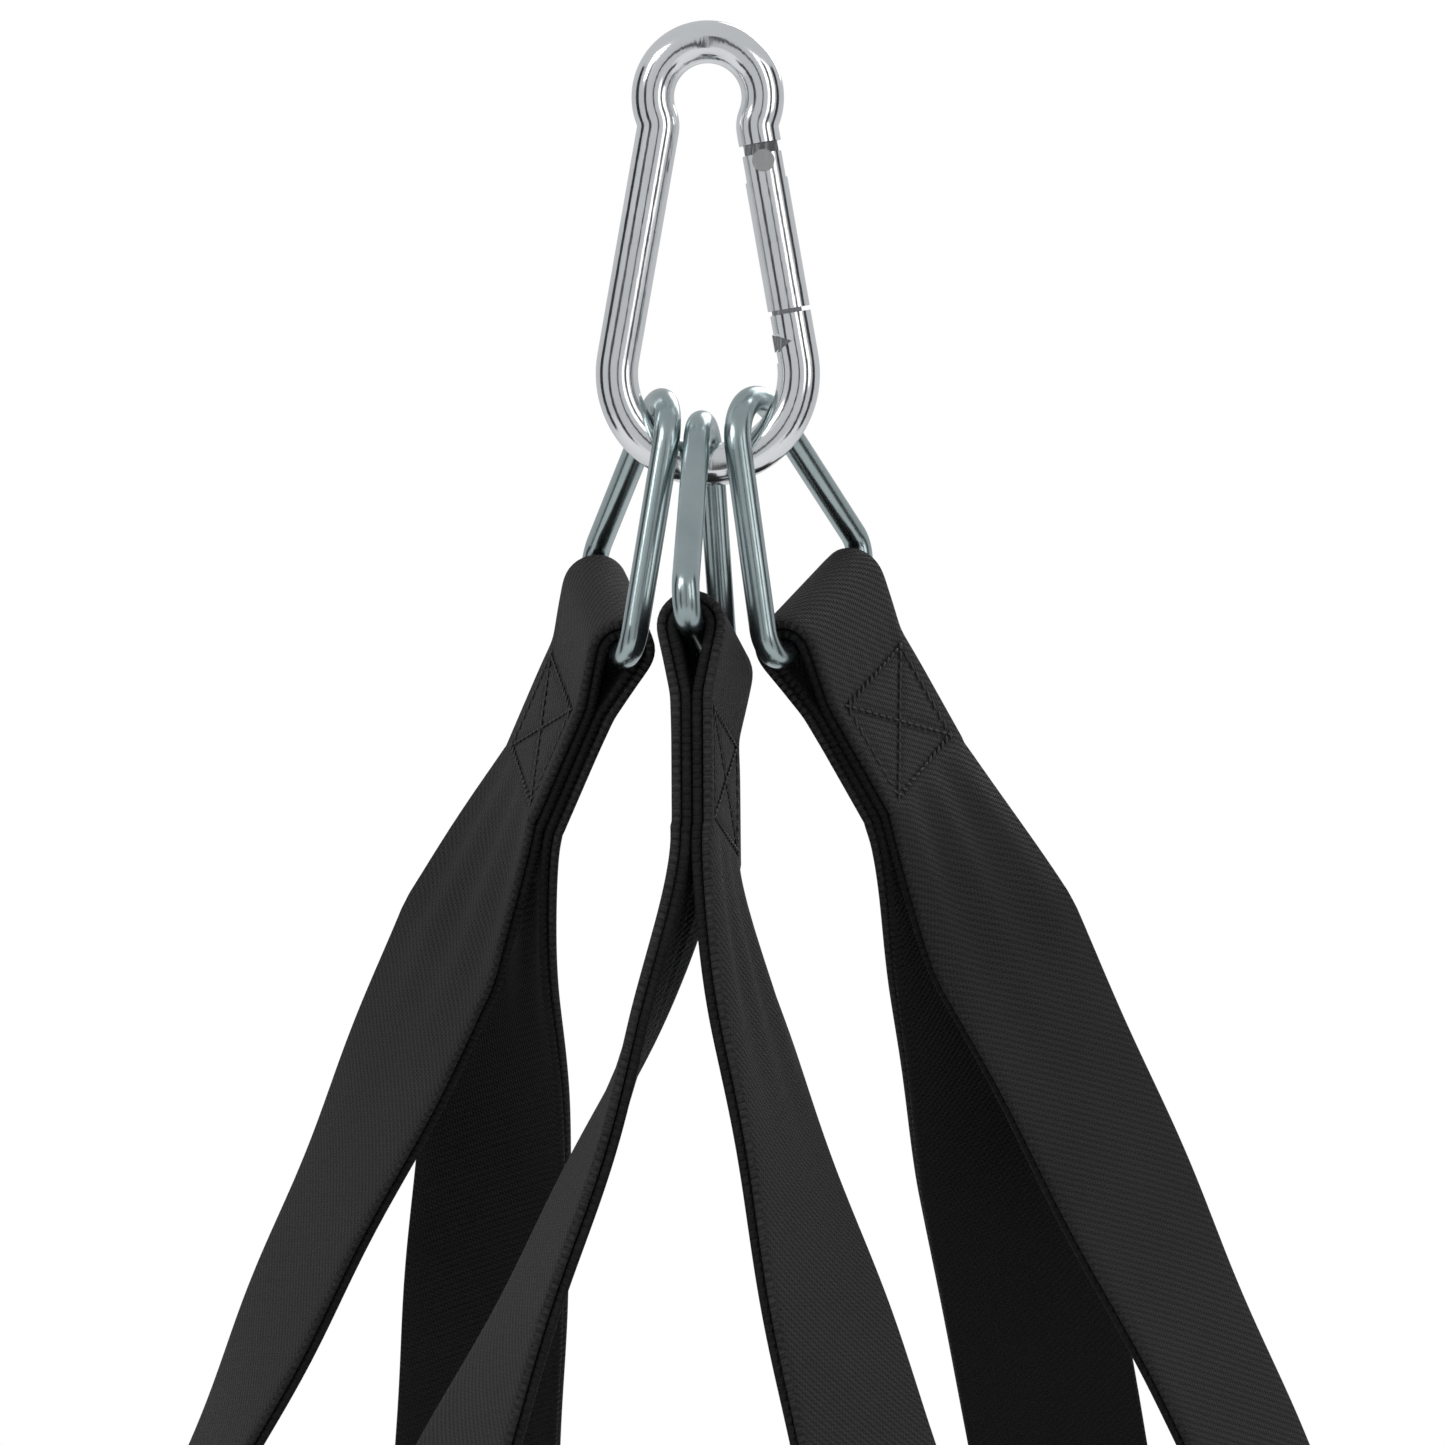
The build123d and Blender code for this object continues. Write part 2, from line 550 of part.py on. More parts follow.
def make_back_tab(side):
    """Turned round the link's lower bar: the front layer runs on down behind the belt, the rear one is its tail."""
    bar = Vector(side * BACK_REACH, BACK_DEPTH, BACK_BAR_Z)
    rear = Vector(side * math.sin(BACK_CURL), math.cos(BACK_CURL), 0)
    folded = LINK_THROAT + SEAT_SEWN
    length = BACK_BAR_Z - (BACK_UPPER - BACK_HEIGHT) - folded - BACK_TAB_SHORT
    top = bar - rear * SEAT_FACE + DOWN * folded
    run = Plane(origin=top + DOWN * (length / 2), x_dir=rear.cross(UP), z_dir=UP) * Box(WEB_WIDTH, WEB_THICK, length)
    return web_around(bar, rear, DOWN, LINK + BAR_GAP, WEB_GAP / 2, LINK_THROAT, folded) + run


back_rear = BACK_BEND - WEB_GAP / 2 - WEB_THICK - LAYER_GAP
back_foam = back_rear - COVER_THICK - LAYER_GAP
back_cover = back_foam - BACK_FOAM - LAYER_GAP
back_front = back_cover - COVER_THICK
write(back_layer(back_rear - COVER_THICK, back_rear, tucked), "back_rear_cover")
write(back_layer(back_foam - BACK_FOAM, back_foam, tucked), "back_foam")
write(back_layer(back_front, back_cover, tucked), "back_front_cover")
write(back_layer(back_front, back_rear, 0) - back_layer(back_front - 1, back_rear + 1, BINDING_THICK), "back_binding")
for strap, side in (("left", -1), ("right", 1)):
    write(make_back_tab(side), f"{strap}_back_tab_web")


# ==========================================================================================================
# Foot bar: a padded tube along X, in a web loop under each foot link
# ==========================================================================================================
FOOT_BAR = Vector(0, FOOT_FRONT, FOOT_TOP - LINK_HEIGHT - FOOT_DROP)


def along_bar(start, end, radius):
    return rod(FOOT_BAR + Vector(start, 0, 0), FOOT_BAR + Vector(end, 0, 0), radius)


def make_foot_loop(side):
    """A band of webbing round the link's lower bar and the tube."""

    def band(extra):
        turns = [(0, 0, TUBE_RADIUS + BAR_GAP + extra), (0, FOOT_DROP, LINK + BAR_GAP + extra)]
        return make_face(loop_line(turns))

    # make_face lies in the local XZ plane, so the band is extruded along local Y, which is the tube.
    ring = extrude(band(WEB_THICK), amount=WEB_WIDTH / 2, both=True) - extrude(band(0), amount=WEB_WIDTH, both=True)
    return Plane(origin=FOOT_BAR + Vector(side * FOOT_REACH, 0, 0), x_dir=(0, -1, 0), z_dir=UP) * ring


def make_cap(side):
    inside = side * (TUBE_HALF - CAP_LENGTH)
    lip = side * (TUBE_HALF + CAP_LIP)
    plug = along_bar(inside, side * TUBE_HALF, TUBE_RADIUS - TUBE_WALL - CAP_GAP)
    return plug + along_bar(side * TUBE_HALF, lip, TUBE_RADIUS)


write(along_bar(-TUBE_HALF, TUBE_HALF, TUBE_RADIUS) - along_bar(-TUBE_HALF, TUBE_HALF, TUBE_RADIUS - TUBE_WALL),
      "foot_tube")
write(along_bar(-PAD_HALF, PAD_HALF, PAD_RADIUS) - along_bar(-PAD_HALF, PAD_HALF, TUBE_RADIUS + PAD_GAP),
      "foot_pad")
for strap, side in (("left", -1), ("right", 1)):
    write(make_foot_loop(side), f"{strap}_foot_loop_web")
    write(make_cap(side), f"{strap}_foot_cap")
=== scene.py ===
import math

import bmesh
import bpy
import numpy as np
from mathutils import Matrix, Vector


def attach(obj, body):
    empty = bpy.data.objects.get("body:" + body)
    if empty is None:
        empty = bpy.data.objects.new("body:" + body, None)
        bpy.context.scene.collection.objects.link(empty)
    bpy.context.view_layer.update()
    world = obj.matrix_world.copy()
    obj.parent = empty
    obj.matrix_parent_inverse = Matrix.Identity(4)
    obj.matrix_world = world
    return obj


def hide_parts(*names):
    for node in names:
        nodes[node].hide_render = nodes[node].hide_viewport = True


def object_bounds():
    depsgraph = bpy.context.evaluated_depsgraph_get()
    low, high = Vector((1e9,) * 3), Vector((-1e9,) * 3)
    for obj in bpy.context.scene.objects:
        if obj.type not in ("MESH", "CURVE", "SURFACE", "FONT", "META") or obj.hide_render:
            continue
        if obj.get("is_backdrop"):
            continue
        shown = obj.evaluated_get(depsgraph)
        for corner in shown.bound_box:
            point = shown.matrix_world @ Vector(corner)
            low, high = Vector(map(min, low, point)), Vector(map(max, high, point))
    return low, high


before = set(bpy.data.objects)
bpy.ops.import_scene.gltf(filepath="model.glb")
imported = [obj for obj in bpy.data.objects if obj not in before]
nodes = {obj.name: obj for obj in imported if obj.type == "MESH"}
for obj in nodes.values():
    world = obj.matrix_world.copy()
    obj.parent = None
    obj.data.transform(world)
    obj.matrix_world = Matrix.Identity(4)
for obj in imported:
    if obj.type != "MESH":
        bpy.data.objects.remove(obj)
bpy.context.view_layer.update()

# --------------------------------------------------------------------------------------------------------
# Snap hook: 11 mm round steel, bent cold and zinc plated to a near mirror, with a turned gate, a peened
# rivet, and a spring in the gate's bore. The plating has faint drawing lines along the wire.
# --------------------------------------------------------------------------------------------------------


class Field:
    """A number that varies over a surface, so that sums on it read as sums."""

    def __init__(self, finish, socket):
        self.finish, self.socket = finish, socket

    def sum(self, operation, first, second=None):
        values = {0: first} if second is None else {0: first, 1: second}
        return self.finish.node("ShaderNodeMath", {"operation": operation}, values)

    def __add__(self, other):
        return self.sum("ADD", self, other)

    def __radd__(self, other):
        return self.sum("ADD", other, self)

    def __sub__(self, other):
        return self.sum("SUBTRACT", self, other)

    def __rsub__(self, other):
        return self.sum("SUBTRACT", other, self)

    def __mul__(self, other):
        return self.sum("MULTIPLY", self, other)

    def __rmul__(self, other):
        return self.sum("MULTIPLY", other, self)

    def sine(self):
        return self.sum("SINE", self)

    def size(self):
        return self.sum("ABSOLUTE", self)

    def over(self, limit):
        return self.sum("GREATER_THAN", self, limit)


class Finish:
    """One material, and a way to add any node to it."""

    def __init__(self, name, colour, metallic, roughness, **more):
        self.material = bpy.data.materials.new(name)
        self.material.use_nodes = True
        self.tree = self.material.node_tree
        self.shader = self.tree.nodes["Principled BSDF"]
        fixed = {"Base Color": (*colour, 1), "Metallic": metallic, "Roughness": roughness, **more}
        for socket, value in fixed.items():
            self.shader.inputs[socket].default_value = value

    def node(self, kind, settings, values, output=0):
        made = self.tree.nodes.new(kind)
        for key, value in settings.items():
            setattr(made, key, value)
        for key, value in values.items():
            if isinstance(value, Field):
                self.tree.links.new(value.socket, made.inputs[key])
            else:
                made.inputs[key].default_value = value
        return Field(self, made.outputs[output])

    def place(self):
        return self.node("ShaderNodeTexCoord", {}, {}, "Object")

    def stretched(self, x, y, z):
        """Object coordinates with a scale for each axis."""
        return self.node("ShaderNodeVectorMath", {"operation": "MULTIPLY"}, {0: self.place(), 1: (x, y, z)})

    def noise(self, where, scale, detail=3):
        return self.node("ShaderNodeTexNoise", {}, {"Vector": where, "Scale": scale, "Detail": detail})

    def blend(self, share, first, second):
        """Two colours mixed by a field."""
        mix = self.tree.nodes.new("ShaderNodeMix")
        mix.data_type = "RGBA"
        ends = [s for s in mix.inputs if s.type == "RGBA"]
        ends[0].default_value, ends[1].default_value = (*first, 1), (*second, 1)
        self.tree.links.new(share.socket, mix.inputs["Factor"])
        return Field(self, next(s for s in mix.outputs if s.type == "RGBA"))

    def feed(self, socket, field):
        self.tree.links.new(field.socket, self.shader.inputs[socket])

    def relief(self, height, depth, strength=1.0):
        values = {"Height": height, "Distance": depth, "Strength": strength}
        bump = self.node("ShaderNodeBump", {}, values, "Normal")
        self.feed("Normal", bump)


def zinc(name, light, dark, roughness, spread, lines):
    """Zinc plate on steel wire: cloudy tint, uneven gloss, and drawing lines."""
    finish = Finish(name, light, 1.0, roughness)
    cloud = finish.noise(finish.place(), 60, 4)
    streak = finish.noise(finish.stretched(lines, lines, lines * 0.06), 1.0, 2)
    finish.feed("Base Color", finish.blend(cloud, light, dark))
    finish.feed("Roughness", roughness - spread / 2 + spread * cloud)
    finish.relief(streak, 0.00006, 0.35)
    return finish.material


def dress(material, *names):
    for name in names:
        slots = nodes[name].data.materials
        slots.clear()
        slots.append(material)


dress(zinc("hook_zinc", (0.90, 0.905, 0.91), (0.72, 0.73, 0.74), 0.13, 0.10, 900), "hook_body")
gate_zinc = zinc("gate_zinc", (0.89, 0.895, 0.90), (0.70, 0.71, 0.72), 0.15, 0.10, 1200)
dress(gate_zinc, "hook_gate", "gate_cross_pin")
dress(zinc("peened_steel", (0.80, 0.80, 0.79), (0.60, 0.60, 0.59), 0.24, 0.16, 1500), "gate_rivet")
oiled_spring = zinc("oiled_spring", (0.58, 0.58, 0.57), (0.38, 0.38, 0.37), 0.30, 0.14, 1500)
dress(oiled_spring, "gate_spring", "gate_plunger")

# --------------------------------------------------------------------------------------------------------
# Three triangle rings: 7 mm wire, welded in the middle of the bar, with a thinner, cooler zinc plate than
# the hook. They hang side by side in the bow of the hook, and each leans towards its own strap.
# --------------------------------------------------------------------------------------------------------
RINGS = ("left_ring", "middle_ring", "right_ring")
dress(zinc("ring_zinc", (0.50, 0.575, 0.58), (0.26, 0.325, 0.335), 0.22, 0.16, 700), *RINGS)

HOOK_TURN = math.radians(9)
RING_HEIGHT = 0.0605
CROWNS = {
    "left": (-0.0111, 0.0, -0.0878),
    "middle": (-0.0010, 0.0040, -0.0936),
    "right": (0.0102, -0.0010, -0.0874),
}
PULLS = {"left": (-0.29, 0.22, -0.93), "middle": (0.06, -0.33, -0.942), "right": (0.28, 0.28, -0.917)}
RUNS = {"left": (0.30, -0.89, -0.35), "middle": (0.0, -0.95, 0.31), "right": (-0.25, -0.90, -0.33)}
FALLS = {"left": (-0.39, 0.10, -0.90), "middle": (0.06, -0.33, -0.942), "right": (0.43, 0.12, -0.89)}


def unit(vector):
    vector = np.array(vector, float)
    return vector / np.linalg.norm(vector)


def square_to(vector, axis):
    return unit(np.array(vector, float) - axis * np.dot(vector, axis))


def head_of(strap):
    """Where a ring's bar is, the way the bar runs from back to front and the way the strap leaves it."""
    along, across, up = CROWNS[strap]
    cos, sin = math.cos(HOOK_TURN), math.sin(HOOK_TURN)
    crown = np.array([along * cos - across * sin, along * sin + across * cos, up])
    pull = unit(PULLS[strap])
    run = square_to(RUNS[strap], pull)
    return crown + pull * RING_HEIGHT, run, square_to(FALLS[strap], run)


# --------------------------------------------------------------------------------------------------------
# Three straps: polypropylene webbing 50 mm wide, in two plies. The outer ply is charcoal; the inner
# ply is a much darker copy of the same webbing, painted shade for the inner faces of each strap, which
# face each other in shadow. Each ply is one length, from a link up through its ring and down to the next
# link, sewn to itself under the ring and over each link.
# --------------------------------------------------------------------------------------------------------
WEB_WIDTH, WEB_THICK, WEB_GAP, BAR_GAP = 0.050, 0.0025, 0.0002, 0.0003
PITCH = WEB_THICK + WEB_GAP
RING_BAR, LINK_BAR = 0.0035, 0.0030
RING_THROAT, RING_SEWN = 0.018, 0.034
LINK_THROAT, LINK_SEWN = 0.013, 0.044
RING_LENGTH, LINK_LENGTH = RING_THROAT + RING_SEWN, LINK_THROAT + LINK_SEWN
LINK_HEIGHT = 0.024
STEP = 0.0014

SEAT_REACH, SEAT_BACK, SEAT_TOP = 0.250, 0.045, -0.602
BACK_REACH, BACK_DEPTH, BACK_TOP, BACK_BEND = 0.106, 0.188, -0.602, 0.600
FOOT_REACH, FOOT_FRONT, FOOT_TOP = 0.112, -0.181, -0.600
BACK_CURL = math.asin(BACK_REACH / BACK_BEND)


def webbing(name, light, dark, rib, tint):
    """Twill webbing: slanting ridges over fine ribs, bumpy selvedges and a faint uneven fade."""
    nap = {"Sheen Weight": 0.06, "Sheen Roughness": 0.4, "Specular IOR Level": 0.25}
    twill_pitch, yarn_pitch, bead_pitch, ripple, selvedge_width = 0.0021, 0.0011, 0.0019, 0.0016, 0.0022
    finish = Finish(name, light, 0.0, 0.78, **nap)
    uv = finish.node("ShaderNodeUVMap", {"uv_map": "web"}, {})
    across = finish.node("ShaderNodeSeparateXYZ", {}, {"Vector": uv}, "X")
    along = Field(finish, across.socket.node.outputs["Y"])
    ribs = (along * (2 * math.pi / rib) + (across * (2 * math.pi / ripple)).sine() * 0.9).sine()
    twill = ((across * 0.75 + along) * (2 * math.pi / twill_pitch)).sine()
    yarn = ((across - along * 0.35) * (2 * math.pi / yarn_pitch)).sine()
    edge = across.size().over(WEB_WIDTH / 2 - selvedge_width)
    beads = (along * (2 * math.pi / bead_pitch)).sine() * edge
    fade = finish.noise(finish.place(), 38, 5)
    fluff = finish.noise(uv, 1400, 2)
    height = twill * 0.6 + ribs * 0.3 + yarn * 0.3 + beads * 0.9 + fluff * 0.5
    share = twill * 0.2 + ribs * 0.12 + yarn * 0.12 + fade * 0.55 + fluff * 0.35
    finish.feed("Base Color", finish.blend(share, dark, light))
    finish.feed("Roughness", 0.66 + fade * 0.22)
    finish.relief(height, 0.00035, 0.8)
    finish.shader.inputs["Sheen Tint"].default_value = (*tint, 1)
    return finish.material


CHARCOAL = webbing("charcoal_webbing", (0.034, 0.031, 0.032), (0.006, 0.0055, 0.006), 0.0009,
                   (0.30, 0.27, 0.29))
# The inner ply: the same webbing made much darker, painted shade for the strap's inner faces, which lie in
# shadow.
SHADED_WEBBING = webbing("black_webbing", (0.0065, 0.0062, 0.0068), (0.0012, 0.0012, 0.0013), 0.0012,
                (0.12, 0.12, 0.12))


def turned(start, end, share):
    """A direction part of the way round from one unit vector to another."""
    angle = math.acos(max(-1.0, min(1.0, float(np.dot(start, end)))))
    if angle < 1e-6:
        return start
    return (start * math.sin((1 - share) * angle) + end * math.sin(share * angle)) / math.sin(angle)


def round_bar(radius, half, throat, length):
    """Middle line of a web that goes up, over a bar at the origin and down, half apart where it is sewn."""
    reach = math.hypot(half, throat)
    angle = math.atan2(-throat, half) + math.acos(radius / reach)
    arc = [(radius * math.cos(a), radius * math.sin(a)) for a in np.linspace(math.pi - angle, angle, 24)]
    return [(-half, -length), (-half, -throat), *arc, (half, -throat), (half, -length)]


class Line:
    """A web's middle line: points, the way its width lies at each, and where on which leg each point is."""

    def __init__(self):
        self.points, self.widths, self.down_leg, self.legs = [], [], [], []

    def add(self, point, width, down_leg=-1.0, leg=0):
        self.points.append(np.array(point, float))
        self.widths.append(np.array(width, float))
        self.down_leg.append(down_leg)
        self.legs.append(leg)

    def even(self, step=STEP, passes=2, closed=False):
        """Evenly spaced points, with the corners softened."""
        points = np.array(self.points)
        if closed:
            points = np.vstack([points, points[:1]])
            for each in (self.widths, self.down_leg, self.legs):
                each.append(each[0])
        keep = np.concatenate([[True], np.linalg.norm(np.diff(points, axis=0), axis=1) > 1e-7])
        points = points[keep]
        far = np.concatenate([[0], np.cumsum(np.linalg.norm(np.diff(points, axis=0), axis=1))])
        count = max(8, int(round(far[-1] / step)))
        at = np.linspace(0, far[-1], count + 1)

        def spread(values):
            values = np.array(values, float)[keep]
            if values.ndim == 1:
                return np.interp(at, far, values)
            return np.stack([np.interp(at, far, values[:, k]) for k in range(3)], axis=1)

        points = np.stack([np.interp(at, far, points[:, k]) for k in range(3)], axis=1)
        for _ in range(passes):
            inner = (points[:-2] + 2 * points[1:-1] + points[2:]) / 4
            if closed:
                seam = (points[-2] + 2 * points[0] + points[1]) / 4
                points = np.vstack([seam, inner, seam])
            else:
                points = np.vstack([points[:1], inner, points[-1:]])
        return points, spread(self.widths), spread(self.down_leg), spread(self.legs), at


def square_frames(points, widths, closed=False):
    """The width of a web made square to the way it runs, and the way its outer face looks."""
    ahead = np.gradient(points, axis=0)
    if closed:
        ahead[0] = ahead[-1] = points[1] - points[-2]
    ahead /= np.linalg.norm(ahead, axis=1)[:, None]
    across = widths - ahead * np.sum(widths * ahead, axis=1)[:, None]
    across /= np.linalg.norm(across, axis=1)[:, None]
    return across, np.cross(across, ahead)


def selvedge(columns=20, round_over=4):
    """Places across a web from edge to edge, as shares of its half width, closer together at the edges."""
    flat = np.linspace(-1, 1, columns)[1:-1] * 0.94
    edge = 1 - 0.05 * (1 - np.cos(np.linspace(0, math.pi / 2, round_over + 1)[:-1]))
    return np.concatenate([-edge, flat, edge[::-1]])


def tape(name, points, across, outward, at, material, body, replaced, width=WEB_WIDTH, thick=WEB_THICK,
         closed=False, lift=None, shape=None):
    """A flat web of even thickness with rounded selvedges, as one closed mesh with a UV map in metres."""
    places = selvedge() if shape is None else shape
    half_widths = np.broadcast_to(np.asarray(width, float) / 2, (len(points),))
    reach = np.clip((np.abs(places) - 0.95) / 0.05, 0, 1)
    rounded = thick / 2 * np.sqrt(np.clip(1 - reach ** 2, 0.02, 1))
    rows = []
    for side in (1, -1):
        order = slice(None) if side == 1 else slice(None, None, -1)
        share, level = places[order], rounded[order]
        u = half_widths[:, None] * share[None, :]
        n = np.broadcast_to(side * level, u.shape).copy()
        if lift is not None:
            n += lift(np.broadcast_to(at[:, None], u.shape), u, side)
        rows.append((points[:, None] + across[:, None] * u[..., None] + outward[:, None] * n[..., None], u))
    verts = np.concatenate([rows[0][0], rows[1][0]], axis=1)
    us = np.concatenate([rows[0][1], rows[1][1]], axis=1)
    count, ring = verts.shape[:2]
    if closed:
        count -= 1
        verts, us = verts[:-1], us[:-1]
    faces, uvs = [], []
    for i in range(count if closed else count - 1):
        k = (i + 1) % count
        v0, v1 = at[i], at[i + 1]
        for j in range(ring):
            m = (j + 1) % ring
            faces.append((i * ring + j, k * ring + j, k * ring + m, i * ring + m))
            uvs += [us[i, j], v0, us[k, j], v1, us[k, m], v1, us[i, m], v0]
    if not closed:
        for i, flip in ((0, False), (count - 1, True)):
            loop = [i * ring + j for j in range(ring)]
            faces.append(tuple(reversed(loop)) if flip else tuple(loop))
            picked = reversed(range(ring)) if flip else range(ring)
            for j in picked:
                uvs += [us[i, j], at[i]]
    mesh = bpy.data.meshes.new(name)
    mesh.from_pydata(verts.reshape(-1, 3).tolist(), [], faces)
    layer = mesh.uv_layers.new(name="web")
    layer.data.foreach_set("uv", np.array(uvs, np.float32))
    mesh.shade_smooth()
    mesh.materials.append(material)
    piece = bpy.data.objects.new(name, mesh)
    bpy.context.collection.objects.link(piece)
    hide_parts(*replaced)
    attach(piece, body)
    return piece


class Leg:
    """One leg of a strap: its run from the sewn head to its link."""

    def __init__(self, strap, beside, link, link_run, outward, flare, flare_at):
        self.link, self.link_run = np.array(link, float), unit(link_run)
        bar, self.run, fall = head_of(strap)
        self.side = np.cross(self.run, fall)
        self.side = self.side if np.dot(self.side, beside) > 0 else -self.side
        self.down = square_to(self.link - bar - fall * RING_LENGTH, self.link_run)
        face = np.cross(self.link_run, self.down)
        self.face = face if np.dot(face, outward) > 0 else -face
        start = bar + fall * RING_LENGTH + self.side * (WEB_GAP + WEB_THICK)
        end = self.link - self.down * LINK_LENGTH + self.face * (PITCH / 2)
        reach = np.linalg.norm(end - start)
        knots = [start, start + fall * (0.10 * reach), end - self.down * (0.16 * reach), end]
        t = np.linspace(0, 1, 400)[:, None]
        a, b, c, d = knots
        fine = a * (1 - t) ** 3 + 3 * b * t * (1 - t) ** 2 + 3 * c * t ** 2 * (1 - t) + d * t ** 3
        far = np.concatenate([[0], np.cumsum(np.linalg.norm(np.diff(fine, axis=0), axis=1))])
        self.length = far[-1]
        self.flare, self.flare_at = unit(flare), flare_at
        shares = np.linspace(0, 1, 80)
        self.middle = np.stack([np.interp(shares * far[-1], far, fine[:, k]) for k in range(3)], axis=1)
        ahead = np.gradient(self.middle, axis=0)
        ahead /= np.linalg.norm(ahead, axis=1)[:, None]
        self.shares, self.widths, self.outs = shares, [], []
        for share, way in zip(shares, ahead):
            if share < flare_at:
                width = turned(self.run, self.flare, share / flare_at)
            else:
                width = turned(self.flare, self.link_run, (share - flare_at) / (1 - flare_at))
            width = square_to(width, way)
            out = np.cross(width, way)
            out = out if np.dot(out, turned(self.side, self.face, share)) > 0 else -out
            self.widths.append(width)
            self.outs.append(out)

    def trace(self, layer, number):
        """The points of a ply from the head to its end at the link."""
        step = PITCH / 2 if layer == "outer" else -PITCH / 2
        found = [(p + out * step, width, share * self.length, number)
                 for p, out, width, share in zip(self.middle, self.outs, self.widths, self.shares)]
        if layer == "inner":
            found.append((self.link - self.down * LINK_THROAT, self.link_run, self.length, number))
            return found
        turn = round_bar(LINK_BAR + BAR_GAP + WEB_THICK / 2, PITCH, LINK_THROAT, LINK_LENGTH)
        for x, y in reversed(turn[:-1]):
            found.append((self.link + self.face * x + self.down * y, self.link_run, self.length, number))
        return found


FRONT, REAR, RIGHT = np.array([0, -1.0, 0]), np.array([0, 1.0, 0]), np.array([1.0, 0, 0])
legs = {}
for strap, side in (("left", -1), ("right", 1)):
    outside = RIGHT * side
    back_run = (-side * math.cos(BACK_CURL), math.sin(BACK_CURL), 0)
    legs[strap + "_seat"] = Leg(strap, outside, (side * SEAT_REACH, SEAT_BACK, SEAT_TOP), FRONT, outside,
                                (-side * 0.67, -0.68, -0.28), 0.12)
    legs[strap + "_back"] = Leg(strap, -outside, (side * BACK_REACH, BACK_DEPTH, BACK_TOP), back_run, REAR,
                                (-side * 0.90, -0.40, 0), 0.3)
    legs[strap + "_foot"] = Leg("middle", outside, (side * FOOT_REACH, FOOT_FRONT, FOOT_TOP), -outside, FRONT,
                                (-side * 0.60, -0.75, 0.30), 0.4)

# Box of stitches with a cross in it, as (down the box, across the web) from corner to corner.
SEAM_HALF, SEAM_IN = 0.0195, 0.003


def boxed_cross(length):
    top, low, half = SEAM_IN, length - SEAM_IN, SEAM_HALF
    return [[(top, -half), (top, half), (low, half), (low, -half), (top, -half)],
            [(top, -half), (low, half)], [(top, half), (low, -half)]]


def near_seam(s, u, seams):
    """How near each place is to the stitching, from 1 on it to 0 a few millimetres away."""
    nearest = np.full(s.shape, 1.0)
    for seam in seams:
        for (s0, u0), (s1, u1) in zip(seam, seam[1:]):
            ds, du = s1 - s0, u1 - u0
            share = np.clip(((s - s0) * ds + (u - u0) * du) / (ds * ds + du * du), 0, 1)
            nearest = np.minimum(nearest, np.hypot(s - s0 - share * ds, u - u0 - share * du))
    return np.exp(-((nearest / 0.0013) ** 2))


RING_SEAMS, LINK_SEAMS = boxed_cross(RING_SEWN), boxed_cross(LINK_SEWN)
threads = {"seat_sling": [], "foot_sling": []}


def lay_thread(body, origin, down, across, out, height, seams):
    for seam in seams:
        threads[body].append([origin + down * s + across * u + out * height for s, u in seam])


